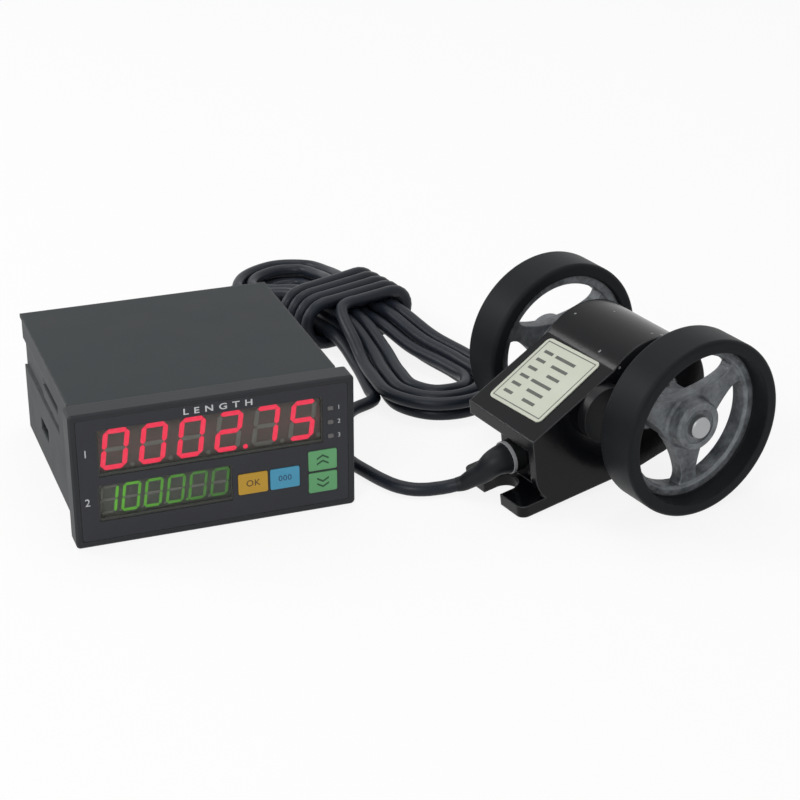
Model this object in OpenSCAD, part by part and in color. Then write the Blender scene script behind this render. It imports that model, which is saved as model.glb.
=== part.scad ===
// Cable length counter: a panel counter and the two-wheeled measuring encoder
// that feeds it, joined by a screened signal cable tied up in a hank.
// Millimetres, +Z up, origin on the table under the middle of counter and encoder.

/* [Counter case] */
// Width of the front bezel
bezel_w = 96; // [94:0.5:110]
// Height of the front bezel
bezel_h = 48; // [47:0.5:56]
// Thickness of the front bezel
bezel_t = 8; // [7:0.5:10]
// Corner radius of the front bezel
bezel_r = 1.5; // [1:0.1:2.5]
// Chamfer round the front edge of the bezel
bezel_chamfer = 0.6; // [0.3:0.1:0.8]
// Lap of the bezel on the panel at each side
panel_lap_side = 2; // [1.6:0.1:2.2]
// Lap of the bezel on the panel above and below
panel_lap_top = 1.5; // [1.2:0.1:1.6]
// Depth of the groove round the case behind the bezel
seat_groove = 0.6; // [0.4:0.1:1]
// Clearance of the case in the panel's cut-out at each side
panel_gap_side = 0.8; // [0.6:0.1:1.4]
// Clearance of the case in the panel's cut-out above and below
panel_gap_top = 0.3; // [0.1:0.1:0.5]
// Depth of the case behind the bezel
case_depth = 88; // [84:1:110]
// Wall of the case
case_wall = 2; // [1.6:0.1:2.2]
// Length of the bezel skirt that plugs into the case
skirt_len = 6; // [4:0.5:8]
// Wall of the bezel skirt
skirt_wall = 1.2; // [1:0.1:1.3]
// Clearance between pieces that plug together
fit_gap = 0.15; // [0.1:0.05:0.2]
// Height of the clamp track in the side of the case
track_h = 10.5; // [8:0.5:11]
// Height of the middle of the clamp track
track_z = 31.7; // [30:0.1:33]
// Depth of the clamp track
track_deep = 0.9; // [0.5:0.1:1]
// Distance from the bezel to the front end of the clamp track
track_from = 25; // [20:1:30]
// Length of the raised tongue in the clamp track
tongue_len = 27; // [15:1:30]
// Height of the tongue in the clamp track
tongue_h = 4.2; // [3:0.2:5]
// Width of the slit on each side of the tongue
slit_w = 0.8; // [0.5:0.1:1]
// Height of the rail along the top edge of each side
rail_h = 1.4; // [1:0.1:2]
// Amount that the rail stands out
rail_out = 0.5; // [0.3:0.1:0.6]
// Distance from the bezel to the front end of the rail
rail_from = 5; // [4:0.5:8]
// Length of the latch window in the side
latch_len = 13; // [8:0.5:14]
// Height of the latch window in the side
latch_h = 5; // [4:0.25:5.5]
// Distance from the bezel to the latch window
latch_from = 48; // [40:1:55]
// Height of the middle of the latch window
latch_z = 15; // [13:0.5:17]

/* [Front face] */
// Depth of the recess that holds the overlay
overlay_recess = 0.6; // [0.5:0.05:0.8]
// Thickness of the overlay sheet
overlay_t = 0.5; // [0.4:0.05:0.5]
// Margin of bezel round the overlay
overlay_margin = 2.3; // [2:0.1:2.6]
// Thickness of the face wall behind the overlay
face_t = 1.8; // [1.6:0.1:2]
// Distance from the bezel's left edge to the process value window
pv_left = 8.75; // [8.65:0.05:9.3]
// Distance from the process value window to the bezel's right edge
pv_right = 10.95; // [10.85:0.05:11.5]
// Height of the process value window
pv_win_h = 16.7; // [16:0.1:17]
// Height of the middle of the process value window
pv_win_z = 33.2; // [33:0.1:33.6]
// Distance from the bezel's left edge to the set value window
sv_left = 8.25; // [8.15:0.05:8.8]
// Distance from the set value window to the set key
sv_to_key = 1.75; // [1.7:0.05:2.2]
// Height of the set value window
sv_win_h = 13.2; // [12.6:0.1:13.6]
// Height of the middle of the set value window
sv_win_z = 15.3; // [15:0.1:15.5]
// Lap of each window pane on the face wall
pane_lap = 0.8; // [0.5:0.1:1]
// Thickness of the window panes
pane_t = 1; // [0.8:0.1:1.2]
// Height of the process value digits
pv_digit_h = 14.3; // [13:0.1:14.6]
// Height of the set value digits
sv_digit_h = 10.2; // [9.5:0.1:10.6]
// Width of each window past its row of digit modules
window_spare = 0.1; // [0:0.05:0.3]
// Stroke width of the process value digits
pv_stroke = 1.6; // [1.3:0.1:1.9]
// Stroke width of the set value digits
sv_stroke = 0.95; // [0.8:0.05:1.3]
// Lean of the digits in degrees
digit_lean = 8; // [5:0.5:10]
// Depth of the display modules
module_deep = 7; // [6:0.1:7.2]
// Distance from the process value window to the three lamps
lamp_gap = 1.65; // [1.55:0.05:1.85]
// Height of the middle lamp
lamp_z = 32; // [31:0.1:33]
// Spacing of the lamps
lamp_pitch = 5.1; // [4.6:0.1:5.4]
// Width of each lamp
lamp_w = 2; // [1.6:0.1:2.2]
// Height of each lamp
lamp_h = 1.5; // [1.2:0.1:1.8]

/* [Keys] */
// Width of the set and reset keys
key_w = 10.2; // [9.6:0.1:10.4]
// Height of the set and reset keys
key_h = 7.5; // [7:0.1:7.8]
// Height of the middle of the set and reset keys
key_z = 14.1; // [13.8:0.1:14.4]
// Distance between the set and reset keys
set_to_reset = 0.9; // [0.7:0.05:1.1]
// Distance between the reset key and the up and down keys
reset_to_arrow = 3.2; // [3:0.1:3.4]
// Width of the up and down keys
arrow_w = 10; // [9.4:0.1:10.4]
// Height of the up and down keys
arrow_h = 7.3; // [6.8:0.1:7.4]
// Distance from the up and down keys to the bezel's right edge
arrow_right = 6.4; // [6.1:0.1:6.7]
// Height of the gap between the up and down keys
arrow_z = 14.5; // [14.3:0.1:14.7]
// Spacing of the up and down keys
arrow_pitch = 8.2; // [8:0.05:8.3]
// Amount that a key stands out from the overlay
key_proud = 0.25; // [0.15:0.05:0.4]
// Travel of a key
key_travel = 0.4; // [0.3:0.05:0.5]
// Clearance round a key
key_gap = 0.12; // [0.1:0.01:0.15]
// Thickness of the flange that keeps a key in
key_flange = 0.8; // [0.6:0.1:1]
// Corner radius of the keys
key_r = 0.6; // [0.3:0.1:0.8]

/* [Boards] */
// Thickness of the circuit boards
board_t = 1.6; // [1.2:0.2:1.6]
// Height of the main board above the case floor
main_z = 4.2; // [3.6:0.1:4.6]
// Length of the main board
main_len = 68; // [64:1:69]
// Reach of the card rails from the side wall
card_rail = 2.4; // [2:0.1:3]
// Size of the transformer along the case
trafo_len = 26; // [22:0.5:28]
// Size of the transformer across the case
trafo_w = 30; // [26:0.5:32]
// Height of the transformer
trafo_h = 25; // [20:0.5:28]
// Diameter of the smoothing capacitor
cap_d = 13; // [10:0.5:14]
// Height of the smoothing capacitor
cap_h = 20; // [15:0.5:25]

/* [Terminals] */
// Thickness of the terminal plate that closes the rear
plate_t = 4; // [3:0.5:5]
// Number of terminals in a row
ways = 10; // [8:1:10]
// Spacing of the terminals
way_pitch = 7.6; // [7.2:0.1:7.8]
// Height of a terminal row
row_h = 11; // [10:0.5:12]
// Distance between the two terminal rows
row_pitch = 22; // [20:0.5:24]
// Depth of a terminal row
row_deep = 8; // [7:0.5:9]
// Thickness of the barrier between terminals
barrier_t = 1; // [0.8:0.1:1.2]
// Head diameter of a terminal screw
term_head_d = 5; // [4.5:0.1:5.4]

/* [Encoder housing] */
// Width of the encoder housing
body_w = 38; // [36:0.5:42]
// Radius of the round end of the housing
cyl_r = 23; // [22.6:0.1:24]
// Distance from the axle down to the base
base_drop = 24.5; // [24:0.1:26]
// Distance from the axle to the tip of the foot
foot_reach = 57; // [55:0.5:62]
// Thickness of the foot
foot_t = 4.2; // [3.5:0.1:5]
// Distance from the axle to the end of the nose
nose_reach = 50; // [48:0.5:52]
// Height of the nose edge above the axle
nose_rise = 3; // [2:0.1:4]
// Depth of the sloped face below the tangent of the round end
slope_drop = 1.4; // [0.6:0.1:2]
// Radius of the lower corner under the nose
corner_r = 13; // [11:0.5:14]
// Wall of the housing
shell_t = 3.4; // [3:0.1:3.6]
// Thickness of the cheeks beside the cable recess
cheek_t = 3.2; // [2.8:0.1:4]
// Depth of the cable recess
recess_deep = 5.5; // [5:0.1:6.5]
// Depth of the lip over the cable recess
lip_t = 5; // [4:0.1:6]
// Length of the open corner under the far side of the nose
corner_len = 19; // [17:0.5:19.5]
// Distance from the middle to the open corner
corner_from = 9.2; // [9:0.1:9.6]
// Amount that the foot is narrower at the far side
foot_step = 2.5; // [1.5:0.1:2.8]
// Width of the slot in the foot
slot_w = 10; // [8:0.5:11]
// Sideways place of the slot in the foot
slot_off = 1.5; // [0:0.1:2]
// Depth of the slot in the foot
slot_deep = 10; // [8:0.5:11]
// Radius of the cap on the side of the housing
cap_r = 10; // [9:0.2:10.5]
// Distance from the axle to the side cap
cap_u = 21.5; // [20:0.5:23]
// Height of the side cap above the axle
cap_rise = 4; // [3:0.2:5]
// Amount that the side cap stands out
cap_out = 4; // [3:0.2:5]
// Thickness of the base cover
cover_t = 2.4; // [2:0.1:2.6]

/* [Axle and bearings] */
// Diameter of the axle
axle_d = 8; // [7:0.5:8.5]
// Length of the axle from end to end
axle_len = 91; // [89:0.5:92]
// Outer diameter of the ball bearings
bearing_d = 22; // [20:0.5:24]
// Width of the ball bearings
bearing_w = 7; // [5:0.5:7]
// Running clearance of the axle in its bearings
axle_gap = 0.05; // [0.03:0.01:0.08]
// Length of the spacer between bearing and hub
spacer_len = 4.6; // [3.5:0.1:5.5]
// Diameter of the slotted code disc
disc_d = 34; // [30:0.5:35]
// Thickness of the code disc
disc_t = 1; // [0.6:0.1:1.2]
// Number of slots in the code disc
disc_slots = 40; // [20:2:50]

/* [Wheels] */
// Radius of the tyres, for 200 mm round
wheel_r = 31.83; // [31.5:0.01:33]
// Width of the tyres
tyre_w = 15.9; // [14:0.1:17]
// Distance from the middle to the outer face of a tyre
wheel_out = 46.9; // [46.5:0.1:47.5]
// Radial thickness of the tyres
tyre_t = 4.83; // [4.4:0.01:5.4]
// Radial thickness of the rim
rim_t = 3.2; // [2.6:0.1:3.6]
// Width of the rim
rim_w = 7; // [6:0.5:8]
// Depth of the rim's face below the tyre's face
rim_in = 7.2; // [6.8:0.1:7.6]
// Thickness of the spokes
spoke_t = 5; // [4:0.25:5.5]
// Number of spokes
spokes = 3; // [3:1:5]
// Least width of a spoke
spoke_w = 5.2; // [4.8:0.2:7]
// Radius of the boss at its outer end
boss_r = 8.8; // [8:0.1:9.2]
// Radius at which the edges of two spokes run into each other
web_r = 9.8; // [9.4:0.1:11]
// Radius of rounding on the tyre's edges
tyre_round = 1.4; // [0.6:0.1:2]

/* [Cable] */
// Diameter of the signal cable
cable_d = 4.8; // [4.4:0.1:5]
// Thick end diameter of the strain relief
relief_d = 11; // [10:0.25:12]
// Number of loops in the hank
loops = 5; // [3:1:5]
// Number of wraps round the waist of the hank
wraps = 5; // [3:1:5]
// Gap between neighbouring strands of the hank
strand_gap = 0.6; // [0.55:0.05:0.7]

/* [Placement] */
// Across place of the middle of the axle from the middle of the counter
enc_x = 145.6; // [143:0.1:150]
// Place of the middle of the axle behind the front of the counter
enc_y = 0.5; // [-2:0.1:3]
// Turn of the encoder in degrees
enc_turn = 12; // [8:0.5:14]

/* [Hidden] */
$fn = 48;

eps = 0.01;
// The digits that the two rows show, and the one that the decimal point follows
PV_VALUE = [0, 0, 0, 2, 7, 5];
SV_VALUE = [1, 0, 0, 0, 0, 0];
POINT_AFTER = 3;

// --- Counter: derived sizes -------------------------------------------------
mid_z = bezel_h / 2;
cutout_w = bezel_w - 2 * panel_lap_side;
cutout_h = bezel_h - 2 * panel_lap_top;
case_w = cutout_w - 2 * panel_gap_side;
case_h = cutout_h - 2 * panel_gap_top;
case_z0 = (bezel_h - case_h) / 2;
counter_lean = asin(case_z0 / case_depth);
bore_w = case_w - 2 * case_wall;
bore_h = case_h - 2 * case_wall;
plug_w = bore_w - 2 * fit_gap;
plug_h = bore_h - 2 * fit_gap;
bay_w = plug_w - 2 * skirt_wall;
bay_h = plug_h - 2 * skirt_wall;
face_back = overlay_recess + face_t;
case_back = bezel_t + case_depth;
overlay_w = bezel_w - 2 * overlay_margin;
overlay_h = bezel_h - 2 * overlay_margin;
overlay_front = overlay_recess - overlay_t;
pv_win_w = bezel_w - pv_left - pv_right;
pv_win_x = (pv_left - pv_right) / 2;
arrow_x = bezel_w / 2 - arrow_right - arrow_w / 2;
reset_x = arrow_x - arrow_w / 2 - reset_to_arrow - key_w / 2;
set_x = reset_x - key_w - set_to_reset;
sv_from = sv_left - bezel_w / 2;
sv_win_w = set_x - key_w / 2 - sv_to_key - sv_from;
sv_win_x = sv_from + sv_win_w / 2;
lamp_x = bezel_w / 2 - pv_right + lamp_gap + lamp_w / 2;
pv_pitch = (pv_win_w - window_spare) / len(PV_VALUE);
sv_pitch = (sv_win_w - window_spare) / len(SV_VALUE);
module_gap = 0.2;
module_front = face_back + module_gap;
segment_t = 0.15;
board_front = module_front + module_deep;
board_back = board_front + board_t;
board_edge = 0.35;
key_front = overlay_front - key_proud;
flange_front = face_back + module_gap;
switch_size = 6;
switch_tall = 4.5;
button_tall = 1;
button_d = 3.4;
button_gap = 0.05;
key_back = board_front - switch_tall - key_travel - button_gap;
main_floor = case_z0 + case_wall + main_z;
main_top = main_floor + board_t;
main_from = bezel_t + skirt_len + 0.4;
key_lap = 0.8;
key_lap_between = 0.25;
plate_back = case_back - row_deep;
plate_front = plate_back - plate_t;
row_zs = [mid_z - row_pitch / 2, mid_z + row_pitch / 2];
row_w = ways * way_pitch + barrier_t;
clamp_t = 1;
screw_tall = 1.6;
cell_deep = 4;

// --- Encoder: derived sizes -------------------------------------------------
// The wheels and the tip of the foot all stand on the table
stand_r = sqrt(foot_reach * foot_reach + base_drop * base_drop);
enc_tilt = asin(wheel_r / stand_r) - atan2(base_drop, foot_reach);
slope_r = cyl_r - slope_drop;
nose_d = sqrt(nose_reach * nose_reach + nose_rise * nose_rise);
slope = asin(slope_r / nose_d) - atan2(nose_rise, nose_reach);
foot_top = foot_t - base_drop;
recess_back = recess_deep - nose_reach;
recess_top = nose_rise - lip_t;
recess_w = body_w - 2 * cheek_t;
cav_r = cyl_r - shell_t;
cav_w = body_w - 2 * shell_t;
cav_front = recess_back + shell_t;
gland_z = (recess_top + foot_top) / 2 - 0.8;
gland_bore_d = 8;
gland_out = 5;
bearing_r = bearing_d / 2;
seat_r = bearing_r + 2.6;
seat_lip = 1;
bearing_in = body_w / 2 - bearing_w;
cover_l = 24;
cover_w = cav_w - 2;
cover_mid = -19.3;
hatch_lap_end = 3.7;
hatch_lap_side = 3;
hatch_l = cover_l - 2 * hatch_lap_end;
hatch_w = cover_w - 2 * hatch_lap_side;
corner_to = corner_len - nose_reach;
cover_screw_d = 2.6;
disc_hub_r = 8;
disc_hub_w = 7;
board_y = -26;
sensor_side = 0.3;
sensor_low = -14;
sensor_tall = 21;
rim_face = wheel_out - rim_in;
rim_r = wheel_r - tyre_t;
web_face = rim_face - (rim_w - spoke_t) / 2;
boss_end = axle_len / 2 - 1.6;
boss_in = body_w / 2 + axle_gap + spacer_len;
plate_size = [30.5, 28];
plate_at = [21.3, 0.8, 0];
plate_thick = 0.4;
plate_turn = 2.5;

// --- Origin: the middle of the box round counter and encoder, on the table ---
x_low = -bezel_w / 2;
x_high = enc_x + wheel_out * sin(enc_turn) + wheel_r * cos(enc_turn);
y_low = enc_y - wheel_out * cos(enc_turn) - wheel_r * sin(enc_turn);
y_high = bezel_t + case_depth * cos(counter_lean)
       + (case_z0 + case_h) * sin(counter_lean);
shift = [-(x_low + x_high) / 2, -(y_low + y_high) / 2, 0];

// --- Cable: derived sizes and the route's hand-chosen points ------------------
strand = cable_d + strand_gap;
flat = cable_d / 10;
loop_z = cable_d / 2 - flat;
lift = strand;
layer_step = strand + 0.2;
inner_half = 0.36 * strand;
lobe_fill = 27;
near_lobe = 80;
far_lobe = 51;
waist_at = [22.8, 115.5];
hank_turn = 16;
hank_bend = 370;
loop_rings = 24;
turns_in = loops / 2;
first_ring = -3;
last_ring = loops * loop_rings - 2;
ramp_end = 50;
ramp_len = 36;
wrap_half = inner_half + (loops / 2 - 0.25) * strand + 0.5;
wrap_r = lift + layer_step / 2 + 0.05;
wrap_y = -12.8;
wrap_step = strand + 0.3;
wrap_mid = -0.25 * strand;
wrap_from = 0.07;
wrap_turns = wraps - 0.3;
relief_pts = [[22, -30.9, 8.7], [18.4, -29.1, 5.9]];
relief_end = [14, -27.1, 3.5];
relief_end_dir = unit([-4.6, 1.5, -1.2]);
run_pts = [[5, -25.3, 2.4], [-0.2, -23.6, 2.4], [-4.6, -19.8, 2.4],
    [-8.4, -13.2, 2.4], [-11.2, -6, 2.4], [-13.6, 1, 2.4], [-14.8, 9, 2.4], [-14, 18, 2.4],
    [-11, 27, 2.4], [-6.4, 35, 2.4], [0, 42, 2.4]];
tail_pts = [[-24, 115, 2.4], [-32.4, 109.6, 2.8], [-39, 102.6, 4.4], [-43.6, 95.4, 7.4],
    [-46, 89.6, 10.2], [-46.4, 85.6, 11]];
core_d = 1.3;

// =========================== shared shapes ==================================

// A rectangle with round corners, in the plane of the sketch
module round_rect(w, h, r) {
    square([w - 2 * r, h], center = true);
    square([w, h - 2 * r], center = true);
    for (x = [-1, 1], y = [-1, 1])
        translate([x * (w / 2 - r), y * (h / 2 - r)]) circle(r = r);
}

// A flat piece facing the front: width along X, height along Z, from y0 to y1
module slab(w, h, y0, y1, x = 0, z = 0, r = 0) {
    translate([x, y1, z]) rotate([90, 0, 0]) linear_extrude(y1 - y0)
        if (r > 0) round_rect(w, h, r); else square([w, h], center = true);
}

// A round piece along Y
module along_y(r, y0, y1, x = 0, z = 0, fn = 48) {
    translate([x, y0, z]) rotate([-90, 0, 0]) cylinder(r = r, h = y1 - y0, $fn = fn);
}

// Lays the counter back on the rear edge of its case, and in the row's place
module place_counter() {
    translate(shift) translate([0, bezel_t, 0]) rotate([-counter_lean, 0, 0])
        translate([0, -bezel_t, 0]) children();
}

// Stands the encoder on its wheels and foot, in the row's place
module place_encoder() {
    translate(shift) translate([enc_x, enc_y, wheel_r]) rotate([0, 0, enc_turn])
        rotate([0, -enc_tilt, 0]) children();
}

// Both sides of the encoder
module both_sides() {
    children();
    mirror([0, 1, 0]) children();
}

// ------------------------------ tube sweeping -------------------------------

function unit(v) = v / norm(v);
function dir_at(p, i) = i == 0 ? unit(p[1] - p[0])
    : i == len(p) - 1 ? unit(p[i] - p[i - 1])
    : unit(unit(p[i + 1] - p[i]) + unit(p[i] - p[i - 1]));
// A direction square to t, carried along from the last one so that the tube doesn't twist
function carry(n, t) = unit(n - (n * t) * t);
function normals(p, i = 0, last = [0, 0, 1], out = []) = i == len(p) ? out
    : let (t = dir_at(p, i), n = carry(abs(last * t) > 0.95 ? [0.2, 1, 0.1] : last, t))
      normals(p, i + 1, n, concat(out, [n]));
function ring(c, t, n, r, sides, floor_z) = let (b = cross(t, n))
    [for (k = [0:sides - 1]) let (a = 360 * (k + 0.5) / sides, q = c + r * (cos(a) * n + sin(a) * b))
        [q[0], q[1], max(q[2], floor_z)]];

// A tube along p whose radius at each ring comes from rs, cut flat at floor_z
module tube(p, rs, sides = 8, floor_z = -100) {
    m = len(p);
    ns = normals(p);
    pts = [for (i = [0:m - 1], q = ring(p[i], dir_at(p, i), ns[i], rs[i], sides, floor_z)) q];
    walls = [for (i = [0:m - 2], k = [0:sides - 1]) let (a = i * sides + k, b = i * sides + (k + 1) % sides)
        each [[a, b + sides, b], [a, a + sides, b + sides]]];
    near_end = [for (k = [1:sides - 2]) [0, k, k + 1]];
    far_end = [for (k = [1:sides - 2]) [(m - 1) * sides, (m - 1) * sides + k + 1, (m - 1) * sides + k]];
    polyhedron(pts, concat(near_end, walls, far_end), convexity = 10);
}

// A smooth curve through hand-chosen points, n steps to each stretch
function spline(p, n) = concat([for (i = [0:len(p) - 2], k = [0:n - 1]) let (
        u = k / n, a = p[max(i - 1, 0)], b = p[i], c = p[i + 1], d = p[min(i + 2, len(p) - 1)])
        0.5 * (2 * b + (c - a) * u + (2 * a - 5 * b + 4 * c - d) * u * u
            + (3 * b - a - 3 * c + d) * u * u * u)],
    [p[len(p) - 1]]);

// ------------------------------- hank route ---------------------------------

// Ring k of the innermost loop: narrow at the waist, wide in both lobes
function loop_xy(k) = let (u = 360 * k / loop_rings, a = u + 3.4 * (sin(2 * u) - sin(4 * u)))
    let (s = sin(a), c = cos(a)) [-c * (inner_half + lobe_fill * pow(abs(s), 3)), (s > 0 ? far_lobe : near_lobe) * s];
function left_of(a, b) = let (d = unit(b - a)) [-d[1], d[0]];
// The way out from ring k that keeps neighbouring strands the same distance apart
function loop_out(k) =
    let (m = left_of(loop_xy(k - 1), loop_xy(k)), n = left_of(loop_xy(k), loop_xy(k + 1)))
    (m + n) / (1 + m * n);
function ease(u) = let (v = min(max(u, 0), 1)) v * v * (3 - 2 * v);
// Every strand rises at the waist, where the wraps pass under it
function rise(y) = lift * ease((ramp_end - abs(y)) / ramp_len);
function layer(t) = layer_step * min(max(2 * (t - turns_in) + 0.5, 0), 1);
function strand_at(k) = let (t = k / loop_rings, q = loop_xy(k) + strand * abs(t - turns_in) * loop_out(k))
    [q[0], q[1], loop_z + layer(t) + rise(q[1])];
// The wraps: a flat-sided coil round the waist, u counts the turns
wrap_side = 2 * wrap_half;
wrap_end = PI * wrap_r;
wrap_round = 2 * wrap_side + 2 * wrap_end;
function wrap_xz(d) = d < wrap_side ? [d - wrap_half, wrap_r]
    : d < wrap_side + wrap_end ? let (a = 90 - 180 * (d - wrap_side) / wrap_end)
        [wrap_half + wrap_r * cos(a), wrap_r * sin(a)]
    : d < 2 * wrap_side + wrap_end ? [wrap_half - (d - wrap_side - wrap_end), -wrap_r]
    : let (a = -90 - 180 * (d - 2 * wrap_side - wrap_end) / wrap_end)
        [-wrap_half + wrap_r * cos(a), wrap_r * sin(a)];
function wrap_at(u) = let (q = wrap_xz(wrap_round * (u - floor(u))))
    [wrap_mid + q[0], wrap_y + wrap_step * u, loop_z + wrap_r + q[1]];
// The strand's end lifts off the bundle and turns over into the first wrap
blend_a = strand_at(last_ring);
blend_b = wrap_at(wrap_from);
blend_ta = 24 * unit(blend_a - strand_at(last_ring - 1)) + [0, 0, 12];
blend_tb = 22 * unit(wrap_at(wrap_from + 0.01) - blend_b);
function blend_at(u) = (2 * u * u * u - 3 * u * u + 1) * blend_a + (u * u * u - 2 * u * u + u) * blend_ta
    + (3 * u * u - 2 * u * u * u) * blend_b + (u * u * u - u * u) * blend_tb;
wrap_steps = wraps * loop_rings;
hank_local = concat([for (k = [first_ring:last_ring]) strand_at(k)], [for (i = [1:5]) blend_at(i / 6)],
    [for (i = [0:wrap_steps]) wrap_at(wrap_from + (wrap_turns - wrap_from) * i / wrap_steps)]);
// The hank lies in a slight bend; a is the heading of its middle line
function in_row(q) = let (a = hank_turn + q[1] / hank_bend * 180 / PI)
    [waist_at[0] + hank_bend * (cos(a) - cos(hank_turn)) + q[0] * cos(a),
     waist_at[1] + hank_bend * (sin(a) - sin(hank_turn)) + q[0] * sin(a), q[2]];
hank_pts = [for (q = hank_local) in_row(q)];
hank_start = hank_pts[0];
hank_start_dir = unit(hank_pts[1] - hank_pts[0]);
hank_end = hank_pts[len(hank_pts) - 1];
hank_end_dir = unit(hank_end - hank_pts[len(hank_pts) - 2]);

// Least distance from a point to a short stretch
function to_stretch(q, a, b) = let (d = b - a, u = min(max(((q - a) * d) / (d * d), 0), 1))
    norm(q - a - u * d);
hank_n = len(hank_pts);
least = min([for (i = [0:hank_n - 1], j = [0:hank_n - 2])
    if (abs(i - j - 0.5) > 5 && norm(hank_pts[i] - hank_pts[j]) < 24)
        to_stretch(hank_pts[i], hank_pts[j], hank_pts[j + 1])]);
echo("least gap between strands of the hank, mm", least - cable_d);

// ============================== counter =====================================

module counter_case() color([0.13, 0.13, 0.14]) place_counter() {
    difference() {
        union() {
            translate([-case_w / 2, bezel_t - seat_groove, case_z0])
                cube([case_w, case_depth + seat_groove, case_h]);
            // Rails along the top edges
            translate([-case_w / 2 - rail_out, bezel_t + rail_from, case_z0 + case_h - rail_h])
                cube([case_w + 2 * rail_out, case_depth - rail_from, rail_h]);
        }
        translate([-bore_w / 2, bezel_t - seat_groove - eps, case_z0 + case_wall])
            cube([bore_w, case_depth + seat_groove + 2 * eps, bore_h]);
        for (side = [-1, 1]) {
            clamp_track(side);
            translate([side * case_w / 2 - 3, bezel_t + latch_from, latch_z - latch_h / 2])
                cube([6, latch_len, latch_h]);
        }
    }
    card_rails();
}

// The track that a panel clamp slides along, with its raised tongue
module clamp_track(side) {
    y0 = bezel_t + track_from;
    face = side * case_w / 2;
    difference() {
        translate([face - track_deep, y0, track_z - track_h / 2])
            cube([2 * track_deep, case_back - y0 + 1, track_h]);
        translate([face - 2 * track_deep, y0 - 1, track_z - tongue_h / 2])
            cube([4 * track_deep, tongue_len + 1, tongue_h]);
    }
    for (dz = [-1, 1])
        translate([face - 1.5 * track_deep, y0, track_z + dz * (tongue_h + slit_w) / 2 - slit_w / 2])
            cube([3 * track_deep, tongue_len + 4, slit_w]);
}

// Grooves inside the case that hold the edges of the main board
module card_rails() {
    for (side = [-1, 1], dz = [-1.2, board_t + 0.2])
        translate([side > 0 ? bore_w / 2 - card_rail : -bore_w / 2 - eps, main_from + 2, main_floor + dz])
            cube([card_rail + eps, main_len - 4, 1]);
}

module front_bezel() color([0.10, 0.10, 0.11]) place_counter() {
    difference() {
        union() {
            difference() {
                union() {
                    slab(bezel_w, bezel_h, bezel_chamfer, bezel_t, 0, mid_z, bezel_r);
                    bezel_front_edge();
                }
                slab(cutout_w, cutout_h, bezel_t - seat_groove, bezel_t + 1, 0, mid_z);
            }
            slab(plug_w, plug_h, bezel_t - 2 * seat_groove, bezel_t + skirt_len, 0, mid_z);
        }
        slab(overlay_w + 2 * fit_gap, overlay_h + 2 * fit_gap, -1, overlay_recess, 0, mid_z, 1);
        slab(bay_w, bay_h, face_back, bezel_t + skirt_len + 1, 0, mid_z);
        window_cut(pv_win_w, pv_win_h, pv_win_x, pv_win_z);
        window_cut(sv_win_w, sv_win_h, sv_win_x, sv_win_z);
        key_cuts(0, face_back + 1);
        lamp_cuts(0, face_back + 1);
    }
}

// The chamfered front of the bezel: two crossing wedges and a cone at each corner
module bezel_front_edge() {
    c = bezel_chamfer;
    along_z = bezel_h - 2 * bezel_r;
    along_x = bezel_w - 2 * bezel_r;
    translate([0, 0, mid_z - along_z / 2]) linear_extrude(along_z)
        polygon([[-bezel_w / 2, c], [c - bezel_w / 2, 0], [bezel_w / 2 - c, 0], [bezel_w / 2, c]]);
    translate([-along_x / 2, 0, mid_z]) rotate([90, 0, 90]) linear_extrude(along_x)
        polygon([[c, -bezel_h / 2], [0, c - bezel_h / 2], [0, bezel_h / 2 - c], [c, bezel_h / 2]]);
    for (sx = [-1, 1], sz = [-1, 1])
        translate([sx * along_x / 2, 0, mid_z + sz * along_z / 2]) rotate([-90, 0, 0])
            cylinder(r1 = bezel_r - c, r2 = bezel_r, h = c);
}

// Opening for a window, with a pocket round it for the pane
module window_cut(w, h, x, z) {
    slab(w, h, 0, face_back + 1, x, z);
    slab(w + 2 * pane_lap + 2 * fit_gap, h + 2 * pane_lap + 2 * fit_gap, 0, overlay_recess + pane_t, x, z);
}

module key_cuts(y0, y1) {
    for (x = [set_x, reset_x])
        slab(key_w + 2 * key_gap, key_h + 2 * key_gap, y0, y1, x, key_z, key_r + key_gap);
    for (s = [-0.5, 0.5])
        slab(arrow_w + 2 * key_gap, arrow_h + 2 * key_gap, y0, y1, arrow_x, arrow_z + s * arrow_pitch,
            key_r + key_gap);
}

module lamp_cuts(y0, y1) {
    for (i = [-1, 0, 1])
        slab(lamp_w + 2 * key_gap, lamp_h + 2 * key_gap, y0, y1, lamp_x, lamp_z + i * lamp_pitch);
}

module front_overlay() color([0.07, 0.07, 0.08]) place_counter() difference() {
    slab(overlay_w, overlay_h, overlay_front, overlay_recess, 0, mid_z, 1);
    slab(pv_win_w, pv_win_h, -1, face_back, pv_win_x, pv_win_z, 0.5);
    slab(sv_win_w, sv_win_h, -1, face_back, sv_win_x, sv_win_z, 0.5);
    key_cuts(-1, face_back);
    lamp_cuts(-1, face_back);
}

module pane(w, h, x, z) place_counter()
    slab(w + 2 * pane_lap, h + 2 * pane_lap, overlay_recess, overlay_recess + pane_t, x, z, 0.5);
module pv_window() color([0.35, 0.36, 0.30, 0.5]) pane(pv_win_w, pv_win_h, pv_win_x, pv_win_z);
module sv_window() color([0.35, 0.36, 0.30, 0.5]) pane(sv_win_w, sv_win_h, sv_win_x, sv_win_z);

module pv_display() color([0.30, 0.31, 0.27]) place_counter()
    slab(pv_win_w - 0.2, pv_win_h - 0.2, module_front, board_front, pv_win_x, pv_win_z);
module sv_display() color([0.30, 0.31, 0.27]) place_counter()
    slab(sv_win_w - 0.2, sv_win_h - 0.2, module_front, board_front, sv_win_x, sv_win_z);

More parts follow.
